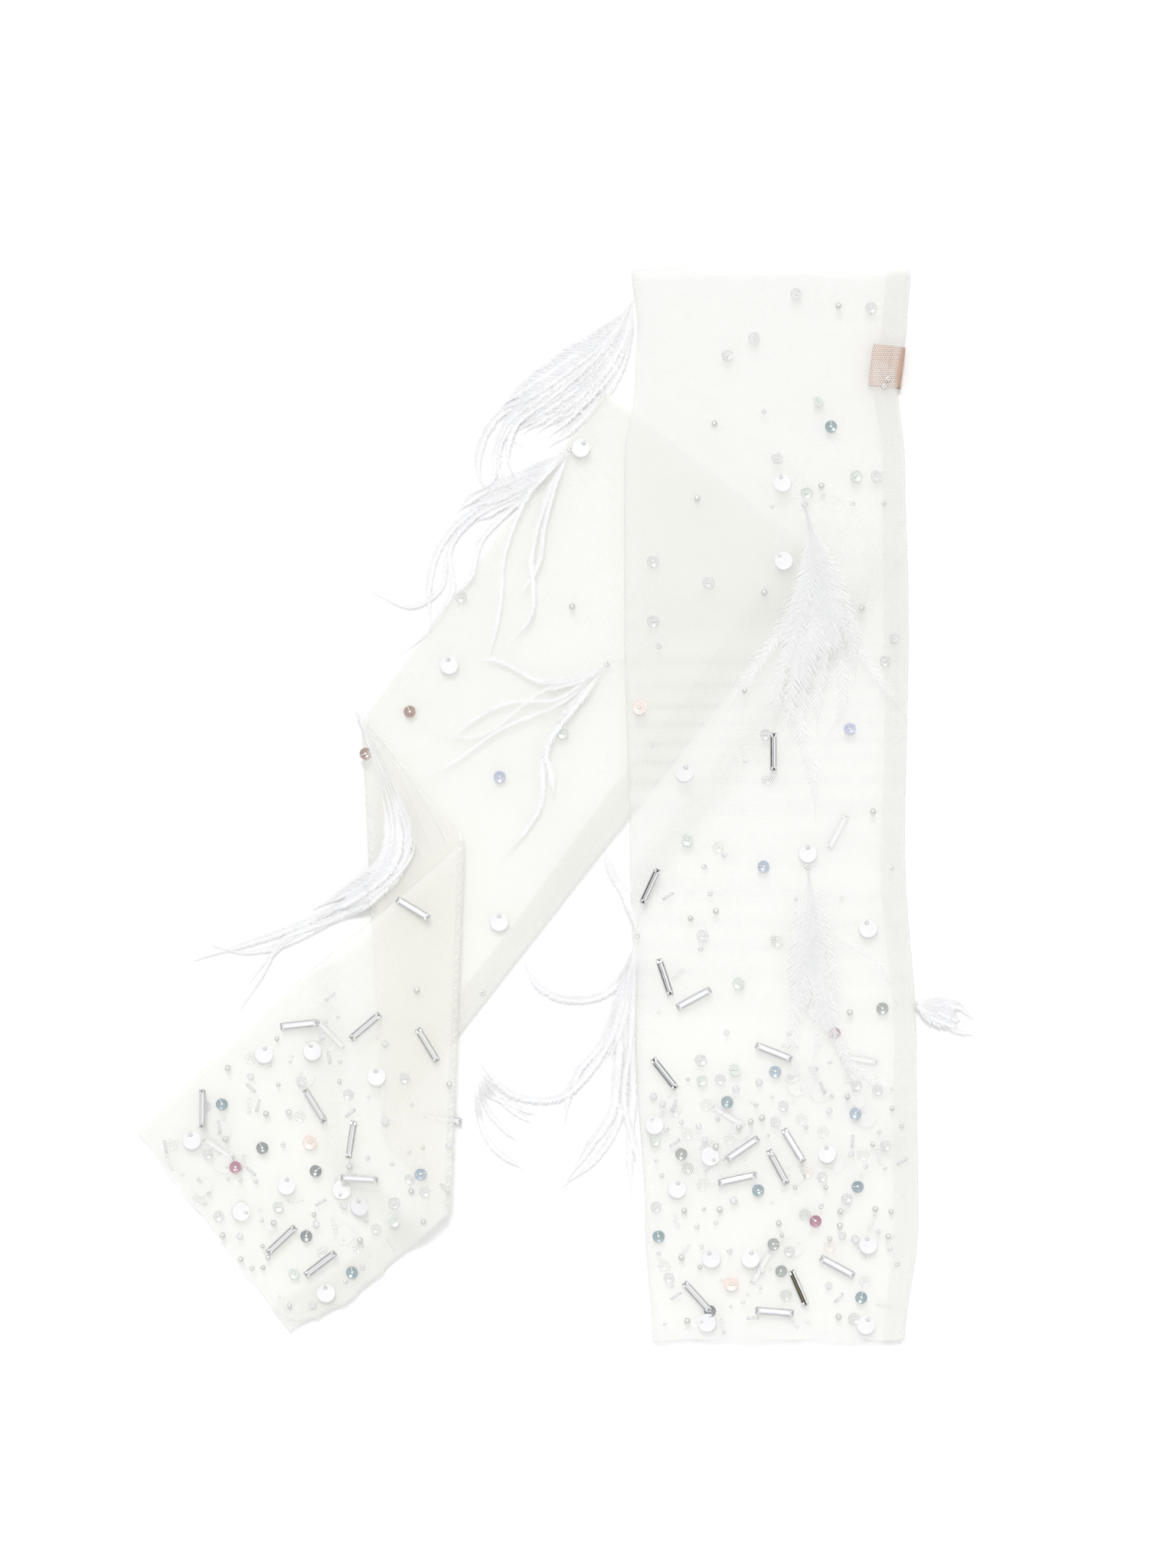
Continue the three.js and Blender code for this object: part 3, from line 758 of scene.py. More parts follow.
def ribbon(name, profile):
    """A strip of satin swept down the label's height along a profile of (x, z)."""
    points, faces = [], []
    for j in range(label_rows + 1):
        y = label_tall * (j / label_rows - 0.5)
        for x, z in profile:
            bow = 0.35 * math.sin(y / 5 + x / 7)
            tilted = Matrix.Rotation(label_tilt, 2) @ Vector((x, y))
            points.append((label_middle[0] + tilted.x, label_middle[1] + tilted.y,
                           label_height + z + bow))
    for j in range(label_rows):
        for k in range(len(profile) - 1):
            a = j * len(profile) + k
            faces.append((a, a + 1, a + len(profile) + 1, a + len(profile)))
    piece = new_mesh(name, in_place(points), faces, satin)
    ply = piece.modifiers.new("ply", "SOLIDIFY")
    ply.thickness = ply_thick
    ply.offset = 0
    return piece


# The folded part turns with the label; the ends beyond the stitches stay in the seam
label = ribbon("label_ribbon", [(label_sewn_from, 1.12), (-1, 1.1), (-5, 1.3), (-7.6, 1.25),
                                (-8.35, 1.05), (-8.5, 0.75), (-8.35, 0.45), (-7.6, 0.3), (-4, 0.25),
                                (0, 0.4), (label_sewn_from, 0.38)])
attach(label, "size_label")
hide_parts("size_label")
upper_end = ribbon("label_upper_end", [(label_sewn_from - 0.7, 1.14), (4, 1.15), (8.5, 1.0)])
lower_end = ribbon("label_lower_end", [(label_sewn_from - 0.7, 0.4), (5, 0.3), (8.5, 0.5)])
for end in (upper_end, lower_end):
    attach(end, "right_sleeve")

# ---------------------------------------------------------------- feather tufts
# Each tuft is a bunch of single ostrich barbs knotted at its root and sewn on by a small bead.
# A barb is a thin white shaft with soft down along both sides, curling towards its tip.

down_spacing = 0.2
shaft_radius = 0.11
down_angle = math.radians(38)
table_clearance = 0.0002


def down_finish(name, shade, light, cover=1.0):
    """Matt white down with a faint painted glow; a cover below one lets the net show through it."""
    material, bench, spot = new_finish(name)
    tone = bench.noise(spot, 55.0)
    streak = bench.noise(spot, 900.0, 1.0)
    white = bench.ramp(tone * 0.6 + streak * 0.4, [(0.25, shade), (0.7, light)])
    # Painted light: a faint white emission makes the down glow, lightening the shade between its strands
    finish_with(bench, {"Base Color": white, "Roughness": 0.7, "Sheen Weight": 0.15,
                        "Emission Color": (1, 1, 1, 1), "Emission Strength": 0.02,
                        "Alpha": cover, "Normal": bench.bump(streak, 0.2, 0.0001)})
    return material


plume_finish = down_finish("feather_down", (0.85, 0.85, 0.852), (0.937, 0.937, 0.942))
sheer_finish = down_finish("sheer_feather_down", (0.89, 0.89, 0.893), (0.95, 0.95, 0.953), 0.5)


def smooth_path(points, step=2.0):
    """A smooth curve through a few points, sampled every step millimetres."""
    knots = np.array(points, float)
    padded = np.vstack([2 * knots[0] - knots[1], knots, 2 * knots[-1] - knots[-2]])
    samples = []
    for i in range(len(knots) - 1):
        p0, p1, p2, p3 = padded[i:i + 4]
        count = max(2, int(np.linalg.norm(p2 - p1) / step))
        for t in np.arange(count) / count:
            samples.append(0.5 * (2 * p1 + (p2 - p0) * t + (2 * p0 - 5 * p1 + 4 * p2 - p3) * t * t
                                  + (3 * p1 - p0 - 3 * p2 + p3) * t ** 3))
    samples.append(knots[-1])
    return np.array(samples)


def laid_strand(path, lift, sides, root_height=None):
    """Heights for a strand that lies on whatever is under it."""
    heights = np.array([top_at(x, y, sides) for x, y in path])
    wide = [max(heights[max(0, i - 3):i + 4]) for i in range(len(heights))]
    soft = np.convolve(np.pad(wide, 3, mode="edge"), np.ones(7) / 7, mode="valid")
    run = np.linspace(0, 1, len(path))
    height = soft + 0.6 + lift * np.minimum(1, run * 4)
    if root_height is not None:
        height = np.maximum(height, root_height * (1 - smooth_step(0, 0.5, run)))
    return np.column_stack([path, height])


def down_lengths(count, wide, bare=0.02):
    """How long the down is along a strand: almost none at the quill, tapering to the tip."""
    run = np.linspace(0, 1, count)
    growing = 0.1 + 0.9 * smooth_step(bare, bare + 0.2, run)
    return 1.6 * wide * growing * (1 - smooth_step(0.8, 1.0, run) * 0.88)


plume_tree, bench, given = new_tree("plume", [("Barbule", "Object"), ("Spacing", "Float"),
                                              ("Shaft", "Float"), ("Angle", "Float"),
                                              ("Seed", "Int"), ("Finish", "Material")])
strand = bench.node("GeometryNodeResampleCurve", {"mode": "LENGTH"},
                    {"Curve": given["Geometry"], "Length": given["Spacing"]})
blade = bench.node("GeometryNodeObjectInfo", {}, {"Object": given["Barbule"]}, output=4)
lie = bench.node("FunctionNodeAxesToRotation", {"primary_axis": "X", "secondary_axis": "Z"},
                 [bench.node("GeometryNodeInputTangent"), (0, 0, 1)])


def random_between(bench, low, high, seed):
    return bench.node("FunctionNodeRandomValue", {"data_type": "FLOAT"},
                      {"Min": low, "Max": high, "Seed": seed}, output=1)


growths = []
for way in (1, -1):
    seed = given["Seed"] + 7 * way
    yaw = (given["Angle"] + 0.2 * random_between(bench, -1.0, 1.0, seed)) * way
    pitch = random_between(bench, -0.28, 0.04, seed + 1)
    euler = bench.node("ShaderNodeCombineXYZ", {}, {"Y": pitch, "Z": yaw})
    own = bench.node("FunctionNodeRotateRotation", {"rotation_space": "LOCAL"},
                     [lie, bench.node("FunctionNodeEulerToRotation", {}, [euler])])
    long = bench.node("GeometryNodeInputRadius") * random_between(bench, 0.7, 1.15, seed + 2)
    growths.append(bench.node("GeometryNodeInstanceOnPoints", {},
                              {"Points": strand, "Instance": blade, "Rotation": own, "Scale": long}))
round_profile = bench.node("GeometryNodeCurvePrimitiveCircle", {}, {"Resolution": 5,
                                                                     "Radius": given["Shaft"]})
even = bench.node("GeometryNodeSetCurveRadius", {},
                  {"Curve": bench.node("GeometryNodeResampleCurve", {"mode": "LENGTH"},
                                       {"Curve": given["Geometry"], "Length": 0.0025}),
                   "Radius": 1.0})
shaft = bench.node("GeometryNodeCurveToMesh", {},
                   {"Curve": even, "Profile Curve": round_profile, "Fill Caps": True})
joined = bench.tree.nodes.new("GeometryNodeJoinGeometry")
for part in [*growths, shaft]:
    bench.tree.links.new(part.socket, joined.inputs[0])
close_tree(bench, Wire(bench.tree, joined.outputs[0]), given["Finish"])

barbule = new_mesh("barbule", [(0, -0.06, 0), (0, 0.06, 0), (0.6, 0.055, 0.02), (0.6, -0.045, 0.02),
                               (1, 0.0, 0)], [(0, 3, 2, 1), (3, 4, 2)], plume_finish)


def bundle(rng, spine, wide, count, shortest, down):
    """Strands side by side along one spine, fanning out from its root."""
    strands = []
    path = smooth_path(spine, 3.0)
    way = np.gradient(path, axis=0)
    way /= np.linalg.norm(way, axis=1)[:, None]
    side = np.column_stack([-way[:, 1], way[:, 0]])
    run = np.linspace(0, 1, len(path))
    for i in range(count):
        spread = (2 * (i + 0.5) / count - 1) + rng.uniform(-0.12, 0.12)
        sway = rng.uniform(-1, 1)
        ends = int(len(path) * rng.uniform(shortest, 1.0))
        across = spread * wide / 2 * smooth_step(0, 0.5, run) + sway * 2.2 * run ** 2
        across += 1.1 * np.sin(run * rng.uniform(3, 7) + rng.uniform(0, 6)) * run
        strands.append(((path + side * across[:, None])[:max(ends, 6)], down,
                        rng.uniform(0, 1.3) * (1 - spread ** 2)))
    return strands


# A bundle is a spine with its width, strand count, shortest strand and down; a single strand is
# its points and down. Down is in millimetres.
tuft_plans = {
    "right_feather_tuft_01": {
        "sides": ("right", "left"),
        "bundles": [
            ([(-71, -15), (-80, -30), (-93, -45), (-110, -58), (-128, -70),
              (-141, -80)], 21, 15, 0.84, 3.0),
            ([(-71, -15), (-76, -34), (-87, -53), (-104, -71), (-126, -90)], 15, 8, 0.75, 2.7)],
        "singles": [
            ([(-72, -16), (-96, -46), (-124, -66), (-142, -76), (-151, -92), (-152, -106),
              (-147, -117)], 2.3),
            ([(-72, -16), (-98, -50), (-128, -74), (-140, -88), (-142, -104), (-134, -120)], 2.2),
            ([(-72, -18), (-94, -48), (-118, -68), (-134, -76), (-143, -92), (-145, -110),
              (-160, -119)], 1.7),
            ([(-72, -16), (-92, -46), (-114, -66), (-132, -80), (-137, -96), (-133, -109)], 1.9),
            ([(-72, -16), (-90, -43), (-114, -63), (-134, -73), (-137, -86), (-128, -92)], 1.6)],
    },
    "left_feather_tuft_02": {
        "sides": ("right", "left"),
        "bundles": [
            ([(-104, -94), (-118, -104), (-131, -113), (-150, -122), (-162, -132)], 11, 6, 0.8, 2.5)],
        "singles": [
            ([(-102, -92), (-131, -112), (-158, -128), (-172, -144), (-178, -164), (-177, -188)], 2.0),
            ([(-103, -94), (-130, -116), (-156, -130), (-168, -147), (-172, -166), (-188, -176),
              (-208, -168)], 1.5),
            ([(-104, -94), (-112, -113), (-118, -136), (-120, -152), (-131, -172)], 1.5),
            ([(-103, -93), (-116, -118), (-124, -148), (-124, -178), (-136, -196)], 1.6),
            ([(-104, -95), (-124, -114), (-138, -146), (-141, -176), (-147, -205)], 1.6),
            ([(-103, -92), (-140, -118), (-166, -142), (-166, -168), (-180, -190), (-194, -201)], 1.8),
            ([(-104, -95), (-128, -118), (-150, -140), (-156, -160), (-166, -172)], 1.8)],
    },
    "left_feather_tuft_03": {
        "sides": ("left",), "spacing": 0.42,
        "bundles": [
            ([(-85, -206), (-98, -213), (-112, -217), (-124, -216)], 5, 3, 0.7, 1.6)],
        "singles": [
            ([(-85, -206), (-104, -216), (-122, -214), (-142, -204), (-154, -205)], 1.9),
            ([(-86, -206), (-110, -224), (-136, -226), (-156, -236), (-166, -247)], 1.5),
            ([(-86, -207), (-108, -226), (-140, -240), (-166, -258), (-182, -266)], 1.3),
            ([(-85, -207), (-100, -226), (-116, -248), (-114, -264), (-112, -278)], 2.3),
            ([(-86, -207), (-106, -232), (-118, -256), (-120, -280), (-139, -308)], 2.2),
            ([(-86, -207), (-118, -220), (-150, -243), (-176, -242)], 1.2)],
    },
    "left_feather_tuft_04": {
        "sides": ("right", "left"), "bare": 0.3, "shaft": 0.2,
        "bundles": [
            ([(-216, -231), (-208, -250), (-199, -272), (-194, -296), (-200, -314), (-218, -328),
              (-240, -340)], 14, 5, 0.8, 2.7)],
        "singles": [
            ([(-216, -231), (-203, -262), (-193, -298), (-208, -322), (-240, -340), (-272, -352),
              (-301, -361)], 2.2),
            ([(-216, -231), (-204, -264), (-196, -300), (-214, -328), (-246, -349), (-274, -357),
              (-292, -353)], 2.0),
            ([(-215, -232), (-200, -262), (-188, -298), (-208, -330), (-246, -346), (-262, -360),
              (-272, -372)], 2.1),
            ([(-215, -232), (-199, -262), (-186, -304), (-222, -336), (-254, -350), (-266, -370),
              (-277, -386)], 1.6),
            ([(-216, -232), (-196, -258), (-184, -284), (-176, -304)], 0.3),
            ([(-216, -231), (-198, -252), (-182, -274), (-168, -300)], 0.3),
            ([(-215, -232), (-204, -258), (-192, -282), (-182, -306)], 0.3)],
    },
    "right_feather_tuft_05": {
        "sides": ("right",), "bare": 0.08, "spacing": 0.9, "fluff": 2.1,
        "bundles": [
            ([(18, -123), (22, -140), (24, -163), (22, -190), (16, -222),
              (16, -252)], 30, 9, 0.6, 2.0),
            ([(18, -123), (24, -146), (32, -172), (42, -200), (44, -222)], 16, 4, 0.6, 1.7)],
        "singles": [
            ([(18, -123), (22, -156), (8, -184), (-8, -208), (-20, -228)], 1.9),
            ([(18, -123), (24, -160), (20, -200), (16, -236), (22, -262), (24, -287)], 1.9),
            ([(19, -124), (28, -160), (44, -194), (60, -218), (72, -234)], 1.4),
            ([(18, -123), (22, -158), (12, -190), (4, -218), (2, -240)], 1.8),
            ([(19, -124), (26, -164), (36, -200), (38, -226), (30, -244)], 1.7)],
    },
    "right_feather_tuft_06": {
        "sides": ("right",), "bare": 0.08, "spacing": 0.9, "fluff": 2.1,
        "bundles": [
            ([(20, -312), (21, -326), (20, -350), (18, -378), (18, -400)], 15, 6, 0.65, 2.0),
            ([(20, -312), (24, -332), (28, -362), (34, -392), (44, -414)], 10, 3, 0.7, 1.7)],
        "singles": [
            ([(20, -312), (22, -340), (24, -376), (36, -406), (54, -424), (73, -434)], 1.3),
            ([(20, -312), (24, -338), (40, -352), (58, -364), (67, -385)], 0.6),
            ([(20, -312), (21, -344), (15, -376), (12, -404), (16, -424)], 1.8),
            ([(20, -312), (24, -346), (30, -384), (38, -408), (46, -430)], 1.6),
            ([(20, -312), (20, -340), (24, -372), (26, -398), (22, -414)], 1.8)],
    },
    "right_feather_tuft_07": {
        "sides": ("right",),
        "bundles": [
            ([(-69, -348), (-72, -362), (-75, -379), (-79, -398), (-83, -416)], 9, 4, 0.8, 2.6)],
        "singles": [
            ([(-69, -348), (-71, -338), (-76, -326), (-82, -316), (-86, -303)], 2.4),
            ([(-70, -352), (-77, -370), (-90, -380), (-108, -381), (-121, -374), (-128, -363)], 2.4),
            ([(-70, -352), (-78, -384), (-88, -405), (-99, -418), (-105, -432), (-107, -447)], 2.2),
            ([(-70, -352), (-79, -390), (-89, -412), (-108, -432), (-132, -432), (-148, -419),
              (-153, -410)], 2.2),
            ([(-70, -352), (-76, -386), (-79, -416), (-82, -440), (-95, -460), (-106, -477)], 2.6),
            ([(-70, -352), (-74, -390), (-75, -424), (-80, -448), (-92, -466), (-109, -480)], 2.1),
            ([(-70, -352), (-72, -392), (-71, -428), (-73, -458), (-72, -488)], 2.2),
            ([(-70, -354), (-72, -398), (-76, -432), (-70, -460), (-66, -478)], 1.8)],
    },
    "right_feather_tuft_08": {
        "sides": ("right",),
        "bundles": [
            ([(76, -384), (86, -388), (96, -391), (104, -394)], 12, 7, 0.75, 2.6)],
        "singles": [
            ([(76, -384), (88, -382), (98, -384), (107, -392)], 1.5),
            ([(76, -385), (88, -393), (98, -398), (107, -400)], 1.5)],
    },
    "left_feather_tuft_09": {
        "sides": ("right", "left"), "root_height": 10.0,
        "bundles": [],
        "singles": [
            ([(-152, -418), (-146, -426), (-138, -436), (-125, -446)], 2.0),
            ([(-152, -420), (-147, -431), (-136, -436), (-122, -442)], 1.6),
            ([(-153, -422), (-148, -438), (-140, -448), (-133, -455)], 1.7),
            ([(-154, -424), (-151, -446), (-143, -460), (-129, -470)], 1.8)],
    },
}

tuft_roots = {}
for name, plan in tuft_plans.items():
    seed = int(name[-2:])
    rng = np.random.default_rng(seed)
    strands = []
    for spine, wide, count, shortest, down in plan["bundles"]:
        strands += bundle(rng, spine, wide, count, shortest, down)
    for i, (points, down) in enumerate(plan["singles"]):
        strands.append((smooth_path(points), down, 0.4 + 0.35 * (i % 4)))
    paths = []
    for path, down, lift in strands:
        laid = laid_strand(path, lift, plan["sides"], plan.get("root_height"))
        fluff = plan.get("fluff", 1.0) * down
        paths.append((laid, down_lengths(len(laid), fluff, plan.get("bare", 0.02)) * 0.001))
    tuft_roots[name] = paths[0][0][0]
    holder = new_paths(name + "_strands", paths)
    tuft = grown(name + "_plume", holder, plume_tree,
                 {"Barbule": barbule, "Spacing": plan.get("spacing", down_spacing) * 0.001,
                  "Shaft": plan.get("shaft", shaft_radius) * 0.001, "Angle": down_angle,
                  "Seed": seed * 31,
                  "Finish": sheer_finish if "fluff" in plan else plume_finish})
    for vertex in tuft.data.vertices:
        vertex.co.z = max(vertex.co.z, table_clearance)
    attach(tuft, name)
    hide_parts(name)

# One strand of the third tuft is caught under the right sleeve and stays with the left one
caught = laid_strand(smooth_path([(-85, -206), (-72, -200), (-60, -193), (-49, -182)]), 0.2, ("left",))
caught[:, 2] = [min(z, top_at(x, y, ("right",)) - 0.7 if x > -72 else z) for x, y, z in caught]
holder = new_paths("caught_path", [(caught, down_lengths(len(caught), 0.8) * 0.001)])
caught_strand = grown("caught_feather_strand", holder, plume_tree,
                      {"Barbule": barbule, "Spacing": down_spacing * 0.001,
                       "Shaft": shaft_radius * 0.001, "Angle": down_angle, "Seed": 5,
                       "Finish": plume_finish})
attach(caught_strand, "left_sleeve")
bpy.data.objects.remove(barbule)

# ---------------------------------------------------------------- baguette stones
# Long cut-glass stones, each held in a stamped metal tray by two claws at either end. The
# tray is sewn flat to the net. Most are clear with a lilac cast, some smoky or gold-backed.

stone_long = 19.0
stone_wide = 2.9
claw_wide = 1.05
hung_below = 2.45


def stone_finish(name, streaks, ends, metal):
    """Cut glass with painted light: painted reflections in streaks down its length, and painted dark
    reflections on the facets at both ends.
    """
    material, bench, spot = new_finish(name)
    along, across = [bench.node("ShaderNodeAttribute", {"attribute_name": label}, output=2)
                     for label in ("along", "across")]
    cloud = bench.noise(spot, 260.0)
    # Painted reflections: light and dark bands across the stone's width with a little random cloud; the
    # end facets get a painted dark reflection
    body = bench.ramp(across * 0.5 + 0.42 + 0.16 * cloud, streaks)
    at_end = 1.0 - (abs(along + 0.05 * across) < 0.87)
    colour = bench.node("ShaderNodeMix", {"data_type": "RGBA"}, {0: at_end, 6: body, 7: (*ends, 1)},
                        output=2)
    finish_with(bench, {"Base Color": colour, "Roughness": 0.06 + 0.06 * cloud, "Metallic": metal,
                        "Coat Weight": 0.6, "Coat Roughness": 0.03, "IOR": 1.6})
    return material


# In each stone's stops and end colour the bands are painted reflections; the smoke, grey and gold
# stones' darker tones are partly their own glass and foil
clear_glass = stone_finish("clear_stone", [(0.1, (0.78, 0.78, 0.82)), (0.35, (0.95, 0.95, 0.96)),
                                           (0.62, (0.9, 0.9, 0.94)), (0.9, (0.72, 0.72, 0.78))],
                           (0.6, 0.6, 0.63), 0.05)
grey_glass = stone_finish("grey_stone", [(0.1, (0.6, 0.6, 0.6)), (0.3, (0.93, 0.93, 0.93)),
                                         (0.5, (0.52, 0.52, 0.53)), (0.62, (0.88, 0.88, 0.88)),
                                         (0.9, (0.45, 0.45, 0.45))], (0.4, 0.4, 0.4), 0.1)
smoke_glass = stone_finish("smoke_stone", [(0.1, (0.3, 0.3, 0.32)), (0.25, (0.92, 0.92, 0.92)),
                                           (0.46, (0.85, 0.85, 0.86)), (0.55, (0.2, 0.21, 0.23)),
                                           (0.72, (0.7, 0.7, 0.72)), (0.9, (0.1, 0.1, 0.11))],
                           (0.015, 0.015, 0.017), 0.15)
gold_glass = stone_finish("gold_stone", [(0.1, (0.9, 0.9, 0.88)), (0.3, (0.85, 0.85, 0.82)),
                                         (0.36, (0.015, 0.014, 0.012)), (0.6, (0.02, 0.018, 0.015)),
                                         (0.66, (0.6, 0.44, 0.12)), (0.72, (0.02, 0.018, 0.015))],
                          (0.012, 0.012, 0.012), 0.3)

claw_finish = mottled_finish("stamped_metal", 380.0,
                             [(0.3, (0.72, 0.72, 0.72)), (0.7, (0.92, 0.92, 0.91))],
                             lambda bench, grain: {"Roughness": 0.22 + 0.25 * grain, "Metallic": 1.0,
                                                   "Normal": bench.bump(grain, 0.15, 0.0001)})


def node_points(node):
    """A CAD node's points in millimetres from the hem's middle."""
    return (np.array([v.co[:] for v in frame["nodes"][node].data.vertices]) - hem_middle) * 1000


def resting_place(node):
    """Foot, long axis, side axis and upward normal of a flat CAD piece, in millimetres."""
    points = node_points(node)
    middle = points.mean(0)
    axes = np.linalg.svd(points - middle, full_matrices=False)[2]
    long = axes[0] if axes[0][1] > 0 else -axes[0]
    normal = axes[2] if axes[2][2] > 0 else -axes[2]
    side = np.cross(normal, long)
    axes = np.column_stack([long, side, normal])
    reach = (points - middle) @ axes
    middle = middle + axes @ ((reach.max(0) + reach.min(0)) / 2)
    foot = middle - normal * (reach[:, 2].max() - reach[:, 2].min()) / 2
    return foot, long, side, normal


def block(rings, closed_ends=True):
    """Points and faces of a solid through rings of the same number of points."""
    count = len(rings[0])
    points = [p for ring in rings for p in ring]
    faces = []
    for i in range(len(rings) - 1):
        for k in range(count):
            a, b = i * count + k, i * count + (k + 1) % count
            faces.append((a, b, b + count, a + count))
    if closed_ends:
        faces.append(tuple(range(count))[::-1])
        faces.append(tuple(range((len(rings) - 1) * count, len(rings) * count)))
    return points, faces


def oblong(longer, wider, height, c):
    """A ring of a stone's outline at a height, grown by longer and wider, its corners clipped by c."""
    x, y = (stone_long + longer) / 2, (stone_wide + wider) / 2
    return [(x - c, -y, height), (x, -y + c, height), (x, y - c, height), (x - c, y, height),
            (-x + c, y, height), (-x, y - c, height), (-x, -y + c, height), (-x + c, -y, height)]


def joined_solids(solids):
    """Several solids as one list of points and one of faces."""
    points, faces = [], []
    for more_points, more_faces in solids:
        faces += [tuple(i + len(points) for i in face) for face in more_faces]
        points += more_points
    return points, faces


cut_stone = block([oblong(-0.9, -1.0, 0.35, 0.3), oblong(0, 0, 1.0, 0.4), oblong(0, 0, 1.2, 0.4),
                   oblong(-1.3, -1.1, 1.95, 0.3), oblong(-2.4, -2.0, 2.1, 0.2)])
tray = block([oblong(0.2, 0.3, 0.05, 0.4), oblong(0.7, 0.6, 0.3, 0.4), oblong(0.7, 0.6, 0.9, 0.4),
              oblong(0.1, 0.1, 1.1, 0.4), oblong(-0.2, -0.3, 0.4, 0.4)])
claws = []
for end in (1, -1):
    for side in (1, -1):
        y = side * (stone_wide / 2 - 0.45)
        rings = []
        for past_end, z, thick in [(0.45, 0.5, 0.35), (0.35, 1.3, 0.35), (-0.2, 1.85, 0.32),
                                   (-0.9, 2.2, 0.3), (-1.6, 2.25, 0.2)]:
            x = stone_long / 2 + past_end
            rings.append([(end * (x + out * thick / 2), y + over * claw_wide / 2, z + out * thick / 4)
                          for out, over in ((-1, -1), (-1, 1), (1, 1), (1, -1))])
        claws.append(block(rings))
setting = joined_solids([tray, *claws])


def laid_solids(name, solid, seats, material, smooth=False):
    """Copies of one solid, each at its own seat, as a single mesh with outward faces."""
    points, faces = [], []
    for foot, long, side, normal in seats:
        turn = np.column_stack([long, side, normal])
        faces += [tuple(i + len(points) for i in face) for face in solid[1]]
        points += [foot + turn @ np.array(p) for p in solid[0]]
    piece = new_mesh(name, in_place(points), faces, material, smooth)
    outward = bmesh.new()
    outward.from_mesh(piece.data)
    bmesh.ops.recalc_face_normals(outward, faces=outward.faces)
    outward.to_mesh(piece.data)
    outward.free()
    return piece


# The stones that aren't clear, by their numbers
stone_kinds = {"right": {"smoke": [1, 2, 3, 5], "grey": [9, 14], "gold": [12]},
               "left": {"grey": [3, 4, 5, 6, 7, 9, 10]}}
stone_finishes = {"clear": clear_glass, "grey": grey_glass, "smoke": smoke_glass, "gold": gold_glass}


def mark_stones(stones):
    """Notes where each point sits on its stone, along and across, from -1 to 1."""
    copies = len(stones.data.vertices) // len(cut_stone[0])
    for label, axis, size in (("along", 0, stone_long), ("across", 1, stone_wide)):
        shares = [p[axis] * 2 / size for p in cut_stone[0]] * copies
        stones.data.attributes.new(label, "FLOAT", "POINT").data.foreach_set("value", shares)


# Stones on the back layer, as (x, y, degrees)
back_stones = {"right": [(36, -294, 62), (47, -413, -10), (-21, -443, -32), (-4, -522, 60)],
               "left": [(-288, -460, -34), (-171, -444, -8), (-229, -400, -45)]}
seated = {"right": [], "left": []}
for side, count in (("right", 14), ("left", 10)):
    kinds = {kind: [] for kind in stone_finishes}
    names = {kind: [] for kind in stone_finishes}
    for i in range(1, count + 1):
        node = f"{side}_baguette_{i:02d}"
        kind = next((k for k, which in stone_kinds[side].items() if i in which), "clear")
        seat = resting_place(node)
        kinds[kind].append(seat)
        names[kind].append(node)
        seated[side].append((seat[0][0], seat[0][1], 10.0))
    everything = [seat for seats in kinds.values() for seat in seats]
    settings = laid_solids(side + "_stone_settings", setting, everything, claw_finish)
    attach(settings, side + "_sleeve")
    hidden = []
    for x, y, lean in back_stones[side]:
        way = math.radians(lean)
        long = np.array([math.cos(way), math.sin(way), 0.0])
        foot = np.array([x, y, max(under_at(x, y, side) - hung_below, 0.1)])
        hidden.append((foot, long, np.array([-long[1], long[0], 0.0]), np.array([0, 0, 1.0])))
    for part, solid, material, slot_name in (("stones", cut_stone, clear_glass, "crystal"),
                                             ("settings", setting, claw_finish, "setting")):
        behind = laid_solids(f"{side}_back_{part}", solid, hidden, material)
        if part == "stones":
            mark_stones(behind)
        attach(behind, side + "_sleeve")
    for kind, seats in kinds.items():
        if seats:
            stones = laid_solids(f"{side}_{kind}_baguettes", cut_stone, seats, stone_finishes[kind])
            mark_stones(stones)
            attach(stones, side + "_sleeve")
            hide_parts(*names[kind])

# ---------------------------------------------------------------- paillettes
# Flat discs of pearly film, 10 mm across, pierced near the rim. Each hangs from one stitch
# through a seed bead at its hole, so it can lift and turn over on that thread.

disc_radius = 5.0
hole_radius = 0.65
hole_in = 1.6
disc_thick = 0.12
thread_deep = 0.2

film_finish = mottled_finish("pearly_film", 130.0,
                             [(0.3, (0.86, 0.86, 0.875)), (0.55, (0.9, 0.895, 0.9)),
                              (0.75, (0.88, 0.895, 0.885))],
                             lambda bench, grain: {"Roughness": 0.25 + 0.12 * grain,
                                                   "Coat Weight": 0.4, "Coat Roughness": 0.1,
                                                   "Normal": bench.bump(grain, 0.1, 0.0002)})
bead_finish = mottled_finish("glass_seed_bead", 700.0,
                             [(0.3, (0.72, 0.72, 0.7)), (0.7, (0.9, 0.9, 0.89))],
                             lambda bench, grain: {"Roughness": 0.08 + 0.1 * grain,
                                                   "Coat Weight": 0.7, "Metallic": 0.15})


def pierced_disc(radius, hole, hole_at, dish, segments, thick):
    """A thin dished disc with a hole: rings run from the hole's rim to the outer rim."""
    outwards = [0.0, 0.25, 0.55, 0.85, 1.0]
    rings = []
    for steps, above in ((outwards, thick), (outwards[::-1], 0.0)):
        for step in steps:
            ring = []
            for k in range(segments):
                turn = 2 * math.pi * k / segments
                spoke = np.array([math.cos(turn), math.sin(turn)])
                inner = np.array([hole_at, 0]) + spoke * hole
                x, y = inner + (spoke * radius - inner) * step
                ring.append((x, y, dish * (math.hypot(x, y) / radius) ** 2 + above))
            rings.append(ring)
    points, faces = block(rings, closed_ends=False)
    last = (len(rings) - 1) * segments
    for k in range(segments):
        after = (k + 1) % segments
        faces.append((last + k, last + after, after, k))
    return points, faces


